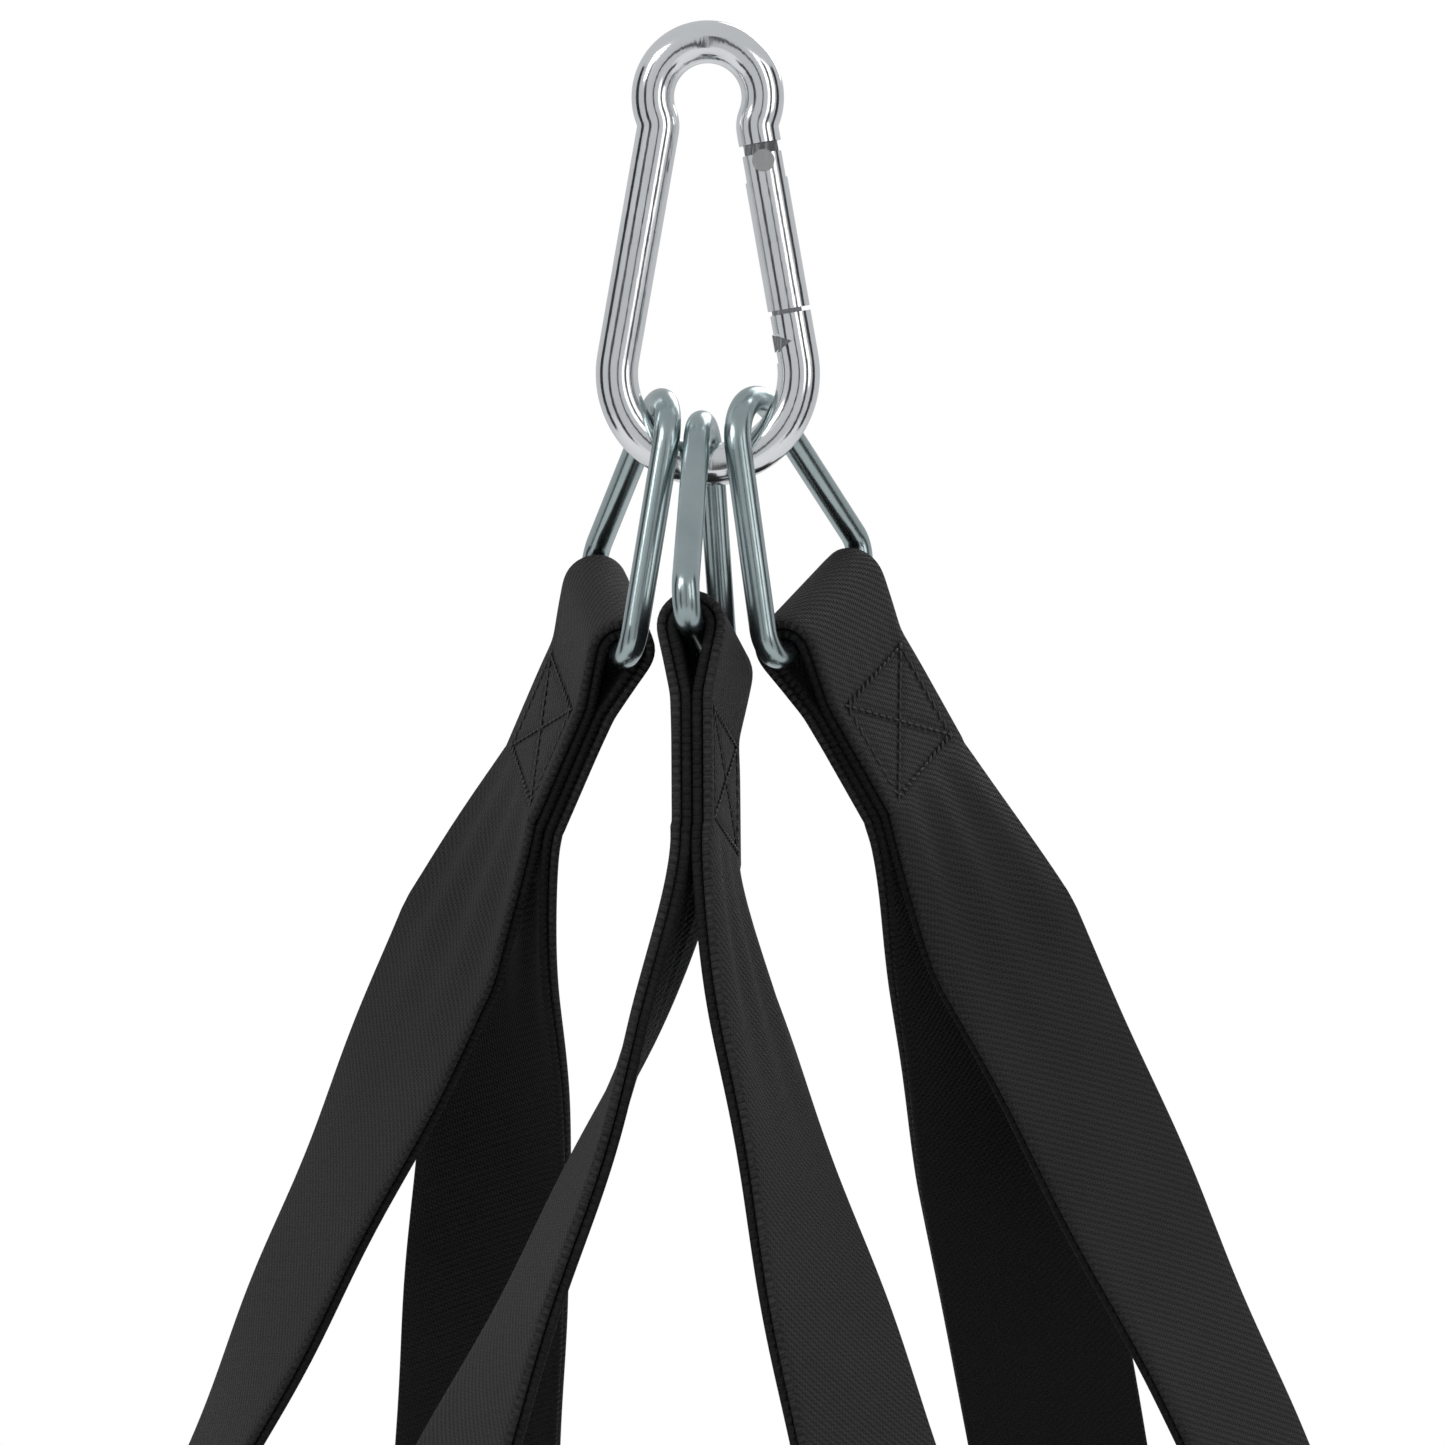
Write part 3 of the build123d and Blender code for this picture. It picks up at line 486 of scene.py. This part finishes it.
STRAPS = {
    "left": ("left_seat", "left_back"),
    "middle": ("left_foot", "right_foot"),
    "right": ("right_back", "right_seat"),
}
FOLD_HEIGHT, FOLD_MIDDLE, FOLD_REACH, FOLD_PITCH = 0.00075, 0.030, 0.034, 0.017
WAVE_HEIGHT, WAVE_PITCH, WAVE_FADE = 0.0006, 0.083, 0.05
CREASE_HEIGHT, CREASE_REACH, CREASE_PITCH = 0.00022, 0.007, 0.0075
SEAM_DENT, HEAD_MARGIN, THREAD_SINK = 0.00075, 0.004, 0.0002
for strap, (minus, plus) in STRAPS.items():
    bar, run, fall = head_of(strap)
    normal = np.cross(run, fall)
    body = "foot_sling" if strap == "middle" else "seat_sling"
    # The inner ply gets the much darker webbing: painted shade on the faces inside each strap.
    for layer, material in (("outer", CHARCOAL), ("inner", SHADED_WEBBING)):
        extra = PITCH if layer == "outer" else 0.0
        line = Line()
        for point in reversed(legs[minus].trace(layer, -1)):
            line.add(*point)
        turn = round_bar(RING_BAR + BAR_GAP + WEB_THICK / 2 + extra, (WEB_GAP + WEB_THICK) / 2 + extra,
                         RING_THROAT, RING_LENGTH)
        for x, y in turn[1:-1]:
            line.add(bar + normal * x - fall * y, run)
        for point in legs[plus].trace(layer, 1):
            line.add(*point)
        points, widths, down_leg, sides, at = line.even()
        across, outward = square_frames(points, widths)
        below = (points - bar) @ fall
        near_head = np.linalg.norm(points - bar, axis=1) < RING_LENGTH + HEAD_MARGIN

        def lift(s, u, side, layer=layer, down_leg=down_leg, sides=sides, below=below, near_head=near_head):
            """Puckers at the sewing, and soft lengthwise folds where a leg leaves it."""
            d, k = down_leg[:, None], sides[:, None]
            folds = (FOLD_HEIGHT * np.exp(-((d - FOLD_MIDDLE) / FOLD_REACH) ** 2)
                     * np.sin(u * (2 * math.pi / FOLD_PITCH) + 1.3 * k))
            waves = (WAVE_HEIGHT * np.sin(d * (2 * math.pi / WAVE_PITCH) + 1.7 * k)
                     * np.clip(d / WAVE_FADE, 0, 1))
            moved = np.where(d > 0, folds + waves * (u / (WEB_WIDTH / 2)), 0.0)
            fade = np.clip((legs[minus].length - d) / WAVE_FADE, 0, 1)
            moved = moved * fade
            if layer == "outer" and side > 0:
                down = np.broadcast_to(below[:, None] - RING_THROAT, u.shape)
                dent = near_seam(down, u, RING_SEAMS) * near_head[:, None] * (down > -HEAD_MARGIN)
                crease = (CREASE_HEIGHT * np.sin(u * (2 * math.pi / CREASE_PITCH))
                          * np.exp(-(down / CREASE_REACH) ** 2) * near_head[:, None])
                moved = moved - SEAM_DENT * dent + crease
            return moved

        names = [f"{strap}_loop_{layer}_web"] + [f"{leg}_leg_{layer}_web" for leg in (minus, plus)]
        tape(f"{strap}_strap_{layer}", points, across, outward, at, material, body, names,
             lift=lift)
    height = WEB_GAP / 2 + WEB_THICK + PITCH
    for side in (-1, 1):
        lay_thread(body, bar + fall * RING_THROAT, fall, run, normal * side, height - THREAD_SINK, RING_SEAMS)
    for name in (minus, plus):
        leg = legs[name]
        for out in (1, -1):
            lay_thread(body, leg.link - leg.down * LINK_LENGTH, leg.down, leg.link_run, leg.face * out,
                       PITCH + WEB_THICK / 2, LINK_SEAMS)

# --------------------------------------------------------------------------------------------------------
# Six links: 6 mm wire bent to a long loop and welded, zinc plated like the rings. Each joins a leg to a
# belt.
# --------------------------------------------------------------------------------------------------------
link_zinc = zinc("link_zinc", (0.66, 0.70, 0.70), (0.44, 0.49, 0.50), 0.22, 0.16, 700)
dress(link_zinc, *[f"{name}_link" for name in legs])

# --------------------------------------------------------------------------------------------------------
# Seat belt: a web turned round both seat links runs under a plastic stiffener and a foam pad in a woven
# cover. A ribbed tape is sewn round the pad's edge.
# --------------------------------------------------------------------------------------------------------
SEAT_SLOPE, SEAT_SEWN, SEAT_WIDTH, SEAT_CORNER, SEAT_END_GAP = math.radians(48), 0.030, 0.150, 0.028, 0.009
SEAT_LENGTH, SEAT_FACE = LINK_THROAT + SEAT_SEWN, (WEB_GAP + WEB_THICK) / 2
seat_bar = np.array([SEAT_REACH, 0, SEAT_TOP - LINK_HEIGHT])
seat_in = np.array([-math.cos(SEAT_SLOPE), 0, -math.sin(SEAT_SLOPE)])
seat_out = np.array([math.sin(SEAT_SLOPE), 0, -math.cos(SEAT_SLOPE)])
seat_edge = seat_bar + seat_in * SEAT_LENGTH + seat_out * SEAT_FACE
SEAT_BEND = seat_edge[0] / math.sin(SEAT_SLOPE)
SEAT_CENTRE = seat_edge[2] + SEAT_BEND * math.cos(SEAT_SLOPE)
SEAT_HALF = seat_edge[0] - SEAT_END_GAP

line = Line()
half_line = []
for x, y in round_bar(LINK_BAR + BAR_GAP + WEB_THICK / 2, SEAT_FACE, LINK_THROAT, SEAT_LENGTH):
    half_line.append(seat_bar + seat_out * x - seat_in * y)
for point in half_line:
    line.add(point + REAR * SEAT_BACK, FRONT)
for angle in np.linspace(SEAT_SLOPE, -SEAT_SLOPE, 60)[1:-1]:
    line.add((SEAT_BEND * math.sin(angle), SEAT_BACK, SEAT_CENTRE - SEAT_BEND * math.cos(angle)), FRONT)
for point in reversed(half_line):
    line.add(point * (-1, 1, 1) + REAR * SEAT_BACK, FRONT)
points, widths, _, _, at = line.even()
across, outward = square_frames(points, widths)
tape("seat_carrying_web", points, across, outward, at, CHARCOAL, "seat_sling",
     ["seat_web"])
for side in (-1, 1):
    mirror = np.array([side, 1, 1])
    top = (seat_bar + seat_in * LINK_THROAT) * mirror + REAR * SEAT_BACK
    for out in (1, -1):
        lay_thread("seat_sling", top, seat_in * mirror, FRONT, seat_out * mirror * out,
                   SEAT_FACE + WEB_THICK / 2, boxed_cross(SEAT_SEWN))


def woven(name, light, dark, thread, gloss):
    """Plain-woven cover cloth over foam."""
    finish = Finish(name, light, 0.0, gloss, **{"Sheen Weight": 0.3, "Sheen Roughness": 0.4})
    x = finish.node("ShaderNodeSeparateXYZ", {}, {"Vector": finish.place()}, "X")
    y, z = (Field(finish, x.socket.node.outputs[axis]) for axis in ("Y", "Z"))
    turn = 2 * math.pi / thread
    weave = (x * turn).sine() * ((y + z) * turn).sine()
    cloud = finish.noise(finish.place(), 26, 5)
    fluff = finish.noise(finish.place(), 1500, 2)
    finish.feed("Base Color", finish.blend(weave * 0.22 + cloud * 0.6 + fluff * 0.2, dark, light))
    finish.feed("Roughness", gloss - 0.08 + cloud * 0.16)
    finish.relief(weave + fluff * 0.5, 0.0002, 0.6)
    return finish.material


COVER = woven("cover_cloth", (0.034, 0.034, 0.037), (0.009, 0.009, 0.010), 0.0016, 0.80)
BACKING = woven("backing_cloth", (0.020, 0.020, 0.022), (0.005, 0.005, 0.006), 0.0022, 0.86)


def plain_copy(name, *sources):
    """A closed mesh of CAD nodes, with its doubles merged."""
    mesh = bpy.data.meshes.new(name)
    whole = bmesh.new()
    for source in sources:
        whole.from_mesh(nodes[source].data)
    bmesh.ops.remove_doubles(whole, verts=whole.verts, dist=1e-6)
    whole.to_mesh(mesh)
    whole.free()
    mesh.materials.clear()
    made = bpy.data.objects.new(name, mesh)
    bpy.context.collection.objects.link(made)
    return made


def settle(made):
    """The object's modifiers taken into its mesh."""
    result = bpy.data.meshes.new_from_object(made.evaluated_get(bpy.context.evaluated_depsgraph_get()))
    made.modifiers.clear()
    made.data = result


def stuffed(name, source, voxel, cap, outward, material, replaced):
    """A pad swollen by the foam in it: the cover is blown up a little, and held to the cap of its travel."""
    pad = plain_copy(name, source)
    grid = pad.modifiers.new("grid", "REMESH")
    grid.mode, grid.voxel_size = "VOXEL", voxel
    settle(pad)
    count = len(pad.data.vertices)
    rest = np.zeros(count * 3)
    pad.data.vertices.foreach_get("co", rest)
    rest = rest.reshape(-1, 3)
    cloth = pad.modifiers.new("swell", "CLOTH")
    cloth.settings.use_pressure = True
    cloth.settings.uniform_pressure_force = 4
    cloth.settings.effector_weights.gravity = 0
    for number in range(1, 21):
        bpy.context.scene.frame_set(number)
    blown = bpy.data.meshes.new_from_object(pad.evaluated_get(bpy.context.evaluated_depsgraph_get()))
    pad.modifiers.clear()
    bpy.context.scene.frame_set(1)
    moved = np.zeros(count * 3)
    blown.vertices.foreach_get("co", moved)
    moved = moved.reshape(-1, 3) - rest
    moved -= moved.mean(axis=0)
    far = np.linalg.norm(moved, axis=1)[:, None]
    moved = moved * np.minimum(1, cap / np.maximum(far, 1e-9))
    moved = moved - outward(rest) * np.minimum(0, np.sum(moved * outward(rest), axis=1))[:, None]
    pad.data.vertices.foreach_set("co", (rest + moved).ravel())
    finer = pad.modifiers.new("finer", "SUBSURF")
    finer.levels = finer.render_levels = 1
    settle(pad)
    pad.data.shade_smooth()
    pad.data.materials.clear()
    pad.data.materials.append(material)
    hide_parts(*replaced)
    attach(pad, "seat_sling")
    return pad


def to_seat_centre(places):
    way = np.stack([-places[:, 0], 0 * places[:, 0], SEAT_CENTRE - places[:, 2]], axis=1)
    return way / np.linalg.norm(way, axis=1)[:, None]


stuffed("seat_pad", "seat_foam", 0.0045, 0.0018, to_seat_centre, COVER,
        ["seat_foam", "seat_top_cover"])


def backing(name, source):
    sheet = plain_copy(name, source)
    sheet.data.materials.append(BACKING)
    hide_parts(source)
    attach(sheet, "seat_sling")


backing("seat_backing", "seat_base_cover")
dress(Finish("bent_sheet", (0.10, 0.10, 0.10), 0.0, 0.5).material, "seat_stiffener")
TAPE = webbing("edge_tape", (0.016, 0.016, 0.017), (0.004, 0.004, 0.0045), 0.0014, (0.2, 0.2, 0.2))
TAPE_THICK = 0.0026


def rounded_outline(half_long, half_wide, corner, step=0.004):
    """Points and outward ways round a rectangle with rounded corners, anticlockwise."""
    found = []
    for quarter, (sx, sy) in enumerate(((1, 1), (-1, 1), (-1, -1), (1, -1))):
        for a in np.linspace(0, math.pi / 2, 9):
            angle = a + quarter * math.pi / 2
            way = (math.cos(angle), math.sin(angle))
            x = sx * (half_long - corner) + corner * way[0]
            y = sy * (half_wide - corner) + corner * way[1]
            found.append((x, y, way))
    outline = []
    for (x0, y0, w0), (x1, y1, w1) in zip(found, found[1:] + found[:1]):
        parts = max(1, int(math.hypot(x1 - x0, y1 - y0) / step))
        for i in range(parts):
            f = i / parts
            way = (w0[0] * (1 - f) + w1[0] * f, w0[1] * (1 - f) + w1[1] * f)
            outline.append((x0 + (x1 - x0) * f, y0 + (y1 - y0) * f, way))
    return outline


def edge_tape(name, outline, middle, across_way, thickness, node):
    """A ribbed tape round a belt's edge, as deep as the belt."""
    points = np.array([middle(x, y) for x, y, _ in outline] + [middle(*outline[0][:2])])
    ways = np.array([across_way[1](w) for _, _, w in outline] + [across_way[1](outline[0][2])])
    widths = np.array([thickness(x, y) for x, y, _ in outline] + [thickness(*outline[0][:2])])
    at = np.concatenate([[0], np.cumsum(np.linalg.norm(np.diff(points, axis=0), axis=1))])
    across = np.broadcast_to(across_way[0], points.shape)
    flat = np.concatenate([[-1, -0.985, -0.95], np.linspace(-0.9, 0.9, 9), [0.95, 0.985, 1]])
    tape(name, points, across, ways, at, TAPE, "seat_sling", [node], width=widths,
         thick=TAPE_THICK, closed=True, shape=flat)


seat_outer = SEAT_BEND - WEB_THICK / 2 - WEB_GAP
seat_inner = seat_outer - 0.0015 - 0.0002 - 0.0020 - 0.0002 - 0.0120 - 0.0002 - 0.0015


def seat_level(radius, x):
    return SEAT_CENTRE - math.sqrt(radius * radius - x * x)


edge_tape("seat_edge_tape", rounded_outline(SEAT_HALF - 0.0009, SEAT_WIDTH / 2 - 0.0009, SEAT_CORNER),
          lambda x, y: (x, SEAT_BACK + y, (seat_level(seat_outer, x) + seat_level(seat_inner, x)) / 2),
          (np.array([0, 0, 1.0]), lambda w: (w[0], w[1], 0)),
          lambda x, y: seat_level(seat_inner, x) - seat_level(seat_outer, x) + 0.0008, "seat_binding")

# --------------------------------------------------------------------------------------------------------
# Back belt: a foam pad between two covers, curved about the sitter, with a tab of webbing sewn behind it
# at each back link.
# --------------------------------------------------------------------------------------------------------
BACK_LENGTH, BACK_HEIGHT, BACK_CORNER, BACK_DROP = 0.380, 0.130, 0.026, 0.036
BACK_CENTRE = BACK_DEPTH - BACK_BEND * math.cos(BACK_CURL)
back_bar_z = BACK_TOP - LINK_HEIGHT
back_upper = BACK_TOP - BACK_DROP
back_middle = back_upper - BACK_HEIGHT / 2


def to_back_centre(places):
    way = np.stack([-places[:, 0], BACK_CENTRE - places[:, 1], 0 * places[:, 0]], axis=1)
    return way / np.linalg.norm(way, axis=1)[:, None]


stuffed("back_pad", "back_foam", 0.0045, 0.0018, to_back_centre, COVER,
        ["back_foam", "back_front_cover"])
backing("back_backing", "back_rear_cover")
back_outer = BACK_BEND - WEB_GAP / 2 - WEB_THICK - 0.0002
back_inner = back_outer - 0.0015 - 0.0002 - 0.0100 - 0.0002 - 0.0015


def back_level(radius, x):
    return BACK_CENTRE + math.sqrt(radius * radius - x * x)


edge_tape("back_edge_tape", rounded_outline(BACK_LENGTH / 2 - 0.0009, BACK_HEIGHT / 2 - 0.0009, BACK_CORNER),
          lambda x, z: (x, (back_level(back_outer, x) + back_level(back_inner, x)) / 2, back_middle + z),
          (np.array([0, -1.0, 0]), lambda w: (w[0], 0, w[1])),
          lambda x, z: back_level(back_outer, x) - back_level(back_inner, x) + 0.0004, "back_binding")

TAB_FOLD = LINK_THROAT + SEAT_SEWN
for strap, side in (("left", -1), ("right", 1)):
    rear = np.array([side * math.sin(BACK_CURL), math.cos(BACK_CURL), 0])
    bar = np.array([side * BACK_REACH, BACK_DEPTH, back_bar_z])
    across_tab = np.cross(rear, (0, 0, 1))
    line = Line()
    turn = round_bar(LINK_BAR + BAR_GAP + WEB_THICK / 2, SEAT_FACE, LINK_THROAT, TAB_FOLD)
    for x, y in reversed(turn):
        line.add(bar + rear * x + np.array([0, 0, y]), across_tab)
    low = back_upper - BACK_HEIGHT + 0.008
    line.add(bar - rear * SEAT_FACE + np.array([0, 0, low - back_bar_z]), across_tab)
    points, widths, _, _, at = line.even()
    across, outward = square_frames(points, widths)
    tape(f"{strap}_back_tab", points, across, outward, at, CHARCOAL, "seat_sling",
         [f"{strap}_back_tab_web"])
    down = np.array([0, 0, -1.0])
    lay_thread("seat_sling", bar + down * LINK_THROAT, down, across_tab, rear, SEAT_FACE + WEB_THICK / 2,
               boxed_cross(SEAT_SEWN))
    lay_thread("seat_sling", bar + down * (TAB_FOLD + 0.010), down, across_tab, rear, WEB_GAP / 2,
               boxed_cross(back_bar_z - low - TAB_FOLD - 0.014))

# --------------------------------------------------------------------------------------------------------
# Foot bar: a steel tube with a black powder coat and a plug in each end, a foam grip over its middle, and
# a band of webbing at each foot link.
# --------------------------------------------------------------------------------------------------------
TUBE_RADIUS, PAD_RADIUS, PAD_HALF, FOOT_DROP = 0.0127, 0.0200, 0.084, 0.080
foot_bar = np.array([0, FOOT_FRONT, FOOT_TOP - LINK_HEIGHT - FOOT_DROP])

gloss = {"Coat Weight": 0.25, "Coat Roughness": 0.3}
enamel = Finish("black_powder_coat", (0.024, 0.024, 0.026), 0.0, 0.38, **gloss)
enamel.relief(enamel.noise(enamel.place(), 900, 3), 0.0001, 0.35)
dress(enamel.material, "foot_tube")
plug = Finish("moulded_plug", (0.022, 0.022, 0.023), 0.0, 0.55)
plug.relief(plug.noise(plug.place(), 1600, 2), 0.00006, 0.4)
dress(plug.material, "left_foot_cap", "right_foot_cap")

for strap, side in (("left", -1), ("right", 1)):
    centre = foot_bar + RIGHT * (side * FOOT_REACH)
    low_radius = TUBE_RADIUS + BAR_GAP + WEB_THICK / 2
    high_radius = LINK_BAR + BAR_GAP + WEB_THICK / 2
    lean = math.asin((low_radius - high_radius) / FOOT_DROP)
    line = Line()
    for a in np.linspace(-math.pi - lean, lean, 40):
        line.add(centre + np.array([0, -math.cos(a), math.sin(a)]) * low_radius, RIGHT)
    for a in np.linspace(lean, math.pi - lean, 24):
        high = np.array([0, -math.cos(a) * high_radius, math.sin(a) * high_radius + FOOT_DROP])
        line.add(centre + high, RIGHT)
    points, widths, _, _, at = line.even(closed=True)
    across, outward = square_frames(points, widths, closed=True)
    tape(f"{strap}_foot_band", points, across, outward, at, CHARCOAL, "foot_sling",
         [f"{strap}_foot_loop_web"], closed=True)

foam = Finish("foam_grip", (0.045, 0.045, 0.047), 0.0, 0.9)
cells = foam.node("ShaderNodeTexVoronoi", {}, {"Vector": foam.place(), "Scale": 900.0}, "Distance")
foam.feed("Base Color", foam.blend(cells, (0.018, 0.018, 0.019), (0.060, 0.060, 0.062)))
foam.relief(cells, 0.0003, 0.6)
ROUND, PAD_GAP, PAD_CROWN = 0.005, 0.0002, 0.0003
profile = [(-PAD_HALF, TUBE_RADIUS + PAD_GAP)]
for a in np.linspace(0, math.pi / 2, 7):
    profile.append((-PAD_HALF + ROUND * (1 - math.cos(a)), PAD_RADIUS - ROUND * (1 - math.sin(a))))
for x in np.linspace(-PAD_HALF + 2 * ROUND, 0, 14):
    profile.append((x, PAD_RADIUS - PAD_CROWN + PAD_CROWN * math.cos(x / PAD_HALF * 2)))
profile += [(-x, r) for x, r in reversed(profile[:-1])]
AROUND = 72
verts, faces = [], []
for x, radius in profile:
    for k in range(AROUND):
        turn = 2 * math.pi * k / AROUND
        verts.append(foot_bar + np.array([x, radius * math.cos(turn), radius * math.sin(turn)]))
for i in range(len(profile)):
    n = (i + 1) % len(profile)
    for k in range(AROUND):
        m = (k + 1) % AROUND
        faces.append((i * AROUND + k, i * AROUND + m, n * AROUND + m, n * AROUND + k))
mesh = bpy.data.meshes.new("foot_grip")
mesh.from_pydata([tuple(v) for v in verts], [], faces)
mesh.shade_smooth()
mesh.materials.append(foam.material)
grip = bpy.data.objects.new("foot_grip", mesh)
bpy.context.collection.objects.link(grip)
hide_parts("foot_pad")
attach(grip, "foot_sling")

# --------------------------------------------------------------------------------------------------------
# Stitching: black bonded thread in boxes with a cross, sewn through the plies after the webs are round
# their bars.
# --------------------------------------------------------------------------------------------------------
thread = Finish("bonded_thread", (0.010, 0.010, 0.011), 0.0, 0.55)
thread.relief(thread.noise(thread.place(), 2500, 1), 0.00008, 0.5)


def stitch_tree():
    """Lays one stitch after another along every line."""
    tree = bpy.data.node_groups.new("stitches", "GeometryNodeTree")
    face = tree.interface
    face.new_socket("Geometry", in_out="INPUT", socket_type="NodeSocketGeometry")
    for label in ("Pitch", "Length", "Thread"):
        face.new_socket(label, in_out="INPUT", socket_type="NodeSocketFloat")
    face.new_socket("Finish", in_out="INPUT", socket_type="NodeSocketMaterial")
    face.new_socket("Geometry", in_out="OUTPUT", socket_type="NodeSocketGeometry")

    def add(kind, settings=None, **links):
        made = tree.nodes.new(kind)
        for key, value in (settings or {}).items():
            setattr(made, key, value)
        for key, value in links.items():
            socket = made.inputs[key.replace("_", " ")]
            if isinstance(value, bpy.types.NodeSocket):
                tree.links.new(value, socket)
            else:
                socket.default_value = value
        return made

    given = add("NodeGroupInput").outputs
    spots = add("GeometryNodeCurveToPoints", {"mode": "LENGTH"}, Curve=given["Geometry"],
                Length=given["Pitch"])
    turn = add("FunctionNodeAlignRotationToVector", {"axis": "Z"}, Vector=spots.outputs["Tangent"])
    ball = add("GeometryNodeMeshUVSphere", Segments=6, Rings=5, Radius=0.5)
    size = add("ShaderNodeCombineXYZ", X=given["Thread"], Y=given["Thread"], Z=given["Length"])
    laid = add("GeometryNodeInstanceOnPoints", Points=spots.outputs["Points"], Instance=ball.outputs["Mesh"],
               Rotation=turn.outputs["Rotation"], Scale=size.outputs["Vector"])
    real = add("GeometryNodeRealizeInstances", Geometry=laid.outputs["Instances"])
    done = add("GeometryNodeSetMaterial", Geometry=real.outputs["Geometry"], Material=given["Finish"])
    tree.links.new(done.outputs["Geometry"], add("NodeGroupOutput").inputs["Geometry"])
    return tree


stitches = stitch_tree()
sizes = {"Pitch": 0.0031, "Length": 0.0027, "Thread": 0.0008, "Finish": thread.material}
for body, lines in threads.items():
    curve = bpy.data.curves.new(f"{body}_lines", "CURVE")
    curve.dimensions = "3D"
    for points in lines:
        spline = curve.splines.new("POLY")
        spline.points.add(len(points) - 1)
        for spot, point in zip(spline.points, points):
            spot.co = (*point, 1)
    source = bpy.data.objects.new(f"{body}_lines", curve)
    bpy.context.collection.objects.link(source)
    laying = source.modifiers.new("stitches", "NODES")
    laying.node_group = stitches
    for item in stitches.interface.items_tree:
        if item.in_out == "INPUT" and item.name in sizes:
            laying[item.identifier] = sizes[item.name]
    bpy.context.view_layer.update()
    mesh = bpy.data.meshes.new_from_object(source.evaluated_get(bpy.context.evaluated_depsgraph_get()))
    source.modifiers.clear()
    bpy.data.objects.remove(source)
    mesh.name = f"{body}_stitching"
    mesh.shade_smooth()
    sewing = bpy.data.objects.new(f"{body}_stitching", mesh)
    bpy.context.collection.objects.link(sewing)
    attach(sewing, body)

# --------------------------------------------------------------------------------------------------------
# Studio: a plain pale floor under the hanging swing, soft light from both sides, and cards that draw the
# lengthwise streaks along the bright wire.
# --------------------------------------------------------------------------------------------------------
paper = Finish("floor_paper", (0.86, 0.86, 0.86), 0.0, 0.9)
dark_card = Finish("dark_card", (0.02, 0.02, 0.022), 0.0, 0.9)


def board(name, centre, across_way, up_way, wide, high, material):
    a, b = np.array(across_way) * wide / 2, np.array(up_way) * high / 2
    c = np.array(centre)
    mesh = bpy.data.meshes.new(name)
    corners = [tuple(c - a - b), tuple(c + a - b), tuple(c + a + b), tuple(c - a + b)]
    mesh.from_pydata(corners, [], [(0, 1, 2, 3)])
    mesh.materials.append(material)
    made = bpy.data.objects.new(name, mesh)
    bpy.context.collection.objects.link(made)
    made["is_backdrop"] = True
    return made


FLOOR_LEVEL, FLOOR_SIDE = -0.84, 3.2
CARD_DISTANCE, CARD_MIDDLE, CARD_HEIGHT = 0.9, -0.08, 1.1
board("floor", (0, 0, FLOOR_LEVEL), (1, 0, 0), (0, 1, 0), FLOOR_SIDE, FLOOR_SIDE, paper.material)
for name, turn, wide in (("dark_card_left", 236, 0.22), ("dark_card_front", 282, 0.10),
                         ("dark_card_right", 326, 0.20), ("dark_card_side", 8, 0.30),
                         ("dark_card_far", 186, 0.34)):
    a = math.radians(turn)
    centre = (CARD_DISTANCE * math.cos(a), CARD_DISTANCE * math.sin(a), CARD_MIDDLE)
    card = board(name, centre, (-math.sin(a), math.cos(a), 0), (0, 0, 1), wide, CARD_HEIGHT,
                 dark_card.material)
    card.visible_camera = card.visible_shadow = card.visible_diffuse = False
for name, place, power, size in (("key", (-1.1, -1.3, 0.9), 14, 0.8), ("fill", (1.4, -0.9, 0.3), 6, 1.2),
                                 ("rim", (0.5, 1.5, 0.8), 8, 1.0)):
    lamp = bpy.data.lights.new(name, "AREA")
    lamp.energy, lamp.size = power, size
    light = bpy.data.objects.new(name, lamp)
    bpy.context.collection.objects.link(light)
    light.location = place
    light.rotation_mode = "QUATERNION"
    light.rotation_quaternion = (Vector((0, 0, -0.25)) - Vector(place)).to_track_quat("-Z", "Y")

world = bpy.data.worlds.new("studio")
world.use_nodes = True
studio = world.node_tree
white, dim = studio.nodes["Background"], studio.nodes.new("ShaderNodeBackground")
white.inputs["Color"].default_value = (1, 1, 1, 1)
dim.inputs["Color"].default_value = (0.80, 0.82, 0.84, 1)
dim.inputs["Strength"].default_value = 0.72
seen, either = studio.nodes.new("ShaderNodeLightPath"), studio.nodes.new("ShaderNodeMixShader")
studio.links.new(seen.outputs["Is Camera Ray"], either.inputs[0])
studio.links.new(dim.outputs[0], either.inputs[1])
studio.links.new(white.outputs[0], either.inputs[2])
studio.links.new(either.outputs[0], studio.nodes["World Output"].inputs["Surface"])
bpy.context.scene.world = world
bpy.context.scene.view_settings.view_transform = "Standard"

# The camera faces the hook nearly square on, close enough that the legs run out of the frame.
AZIMUTH, ELEVATION, DISTANCE, FRAME_WIDTH = math.radians(9), math.radians(4.5), 1.2, 0.377
TARGET_RIGHT, TARGET_LEVEL, SENSOR = 0.0038, -0.1706, 36
level = math.cos(ELEVATION)
forward = Vector((-math.sin(AZIMUTH) * level, math.cos(AZIMUTH) * level, -math.sin(ELEVATION)))
target = Vector((TARGET_RIGHT * math.cos(AZIMUTH), TARGET_RIGHT * math.sin(AZIMUTH), TARGET_LEVEL))
camera = bpy.data.objects.new("camera", bpy.data.cameras.new("camera"))
bpy.context.collection.objects.link(camera)
camera.data.sensor_width = SENSOR
camera.data.lens = SENSOR * DISTANCE / FRAME_WIDTH
camera.location = target - forward * DISTANCE
camera.rotation_mode = "QUATERNION"
camera.rotation_quaternion = forward.to_track_quat("-Z", "Y")
bpy.context.scene.camera = camera

low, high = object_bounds()
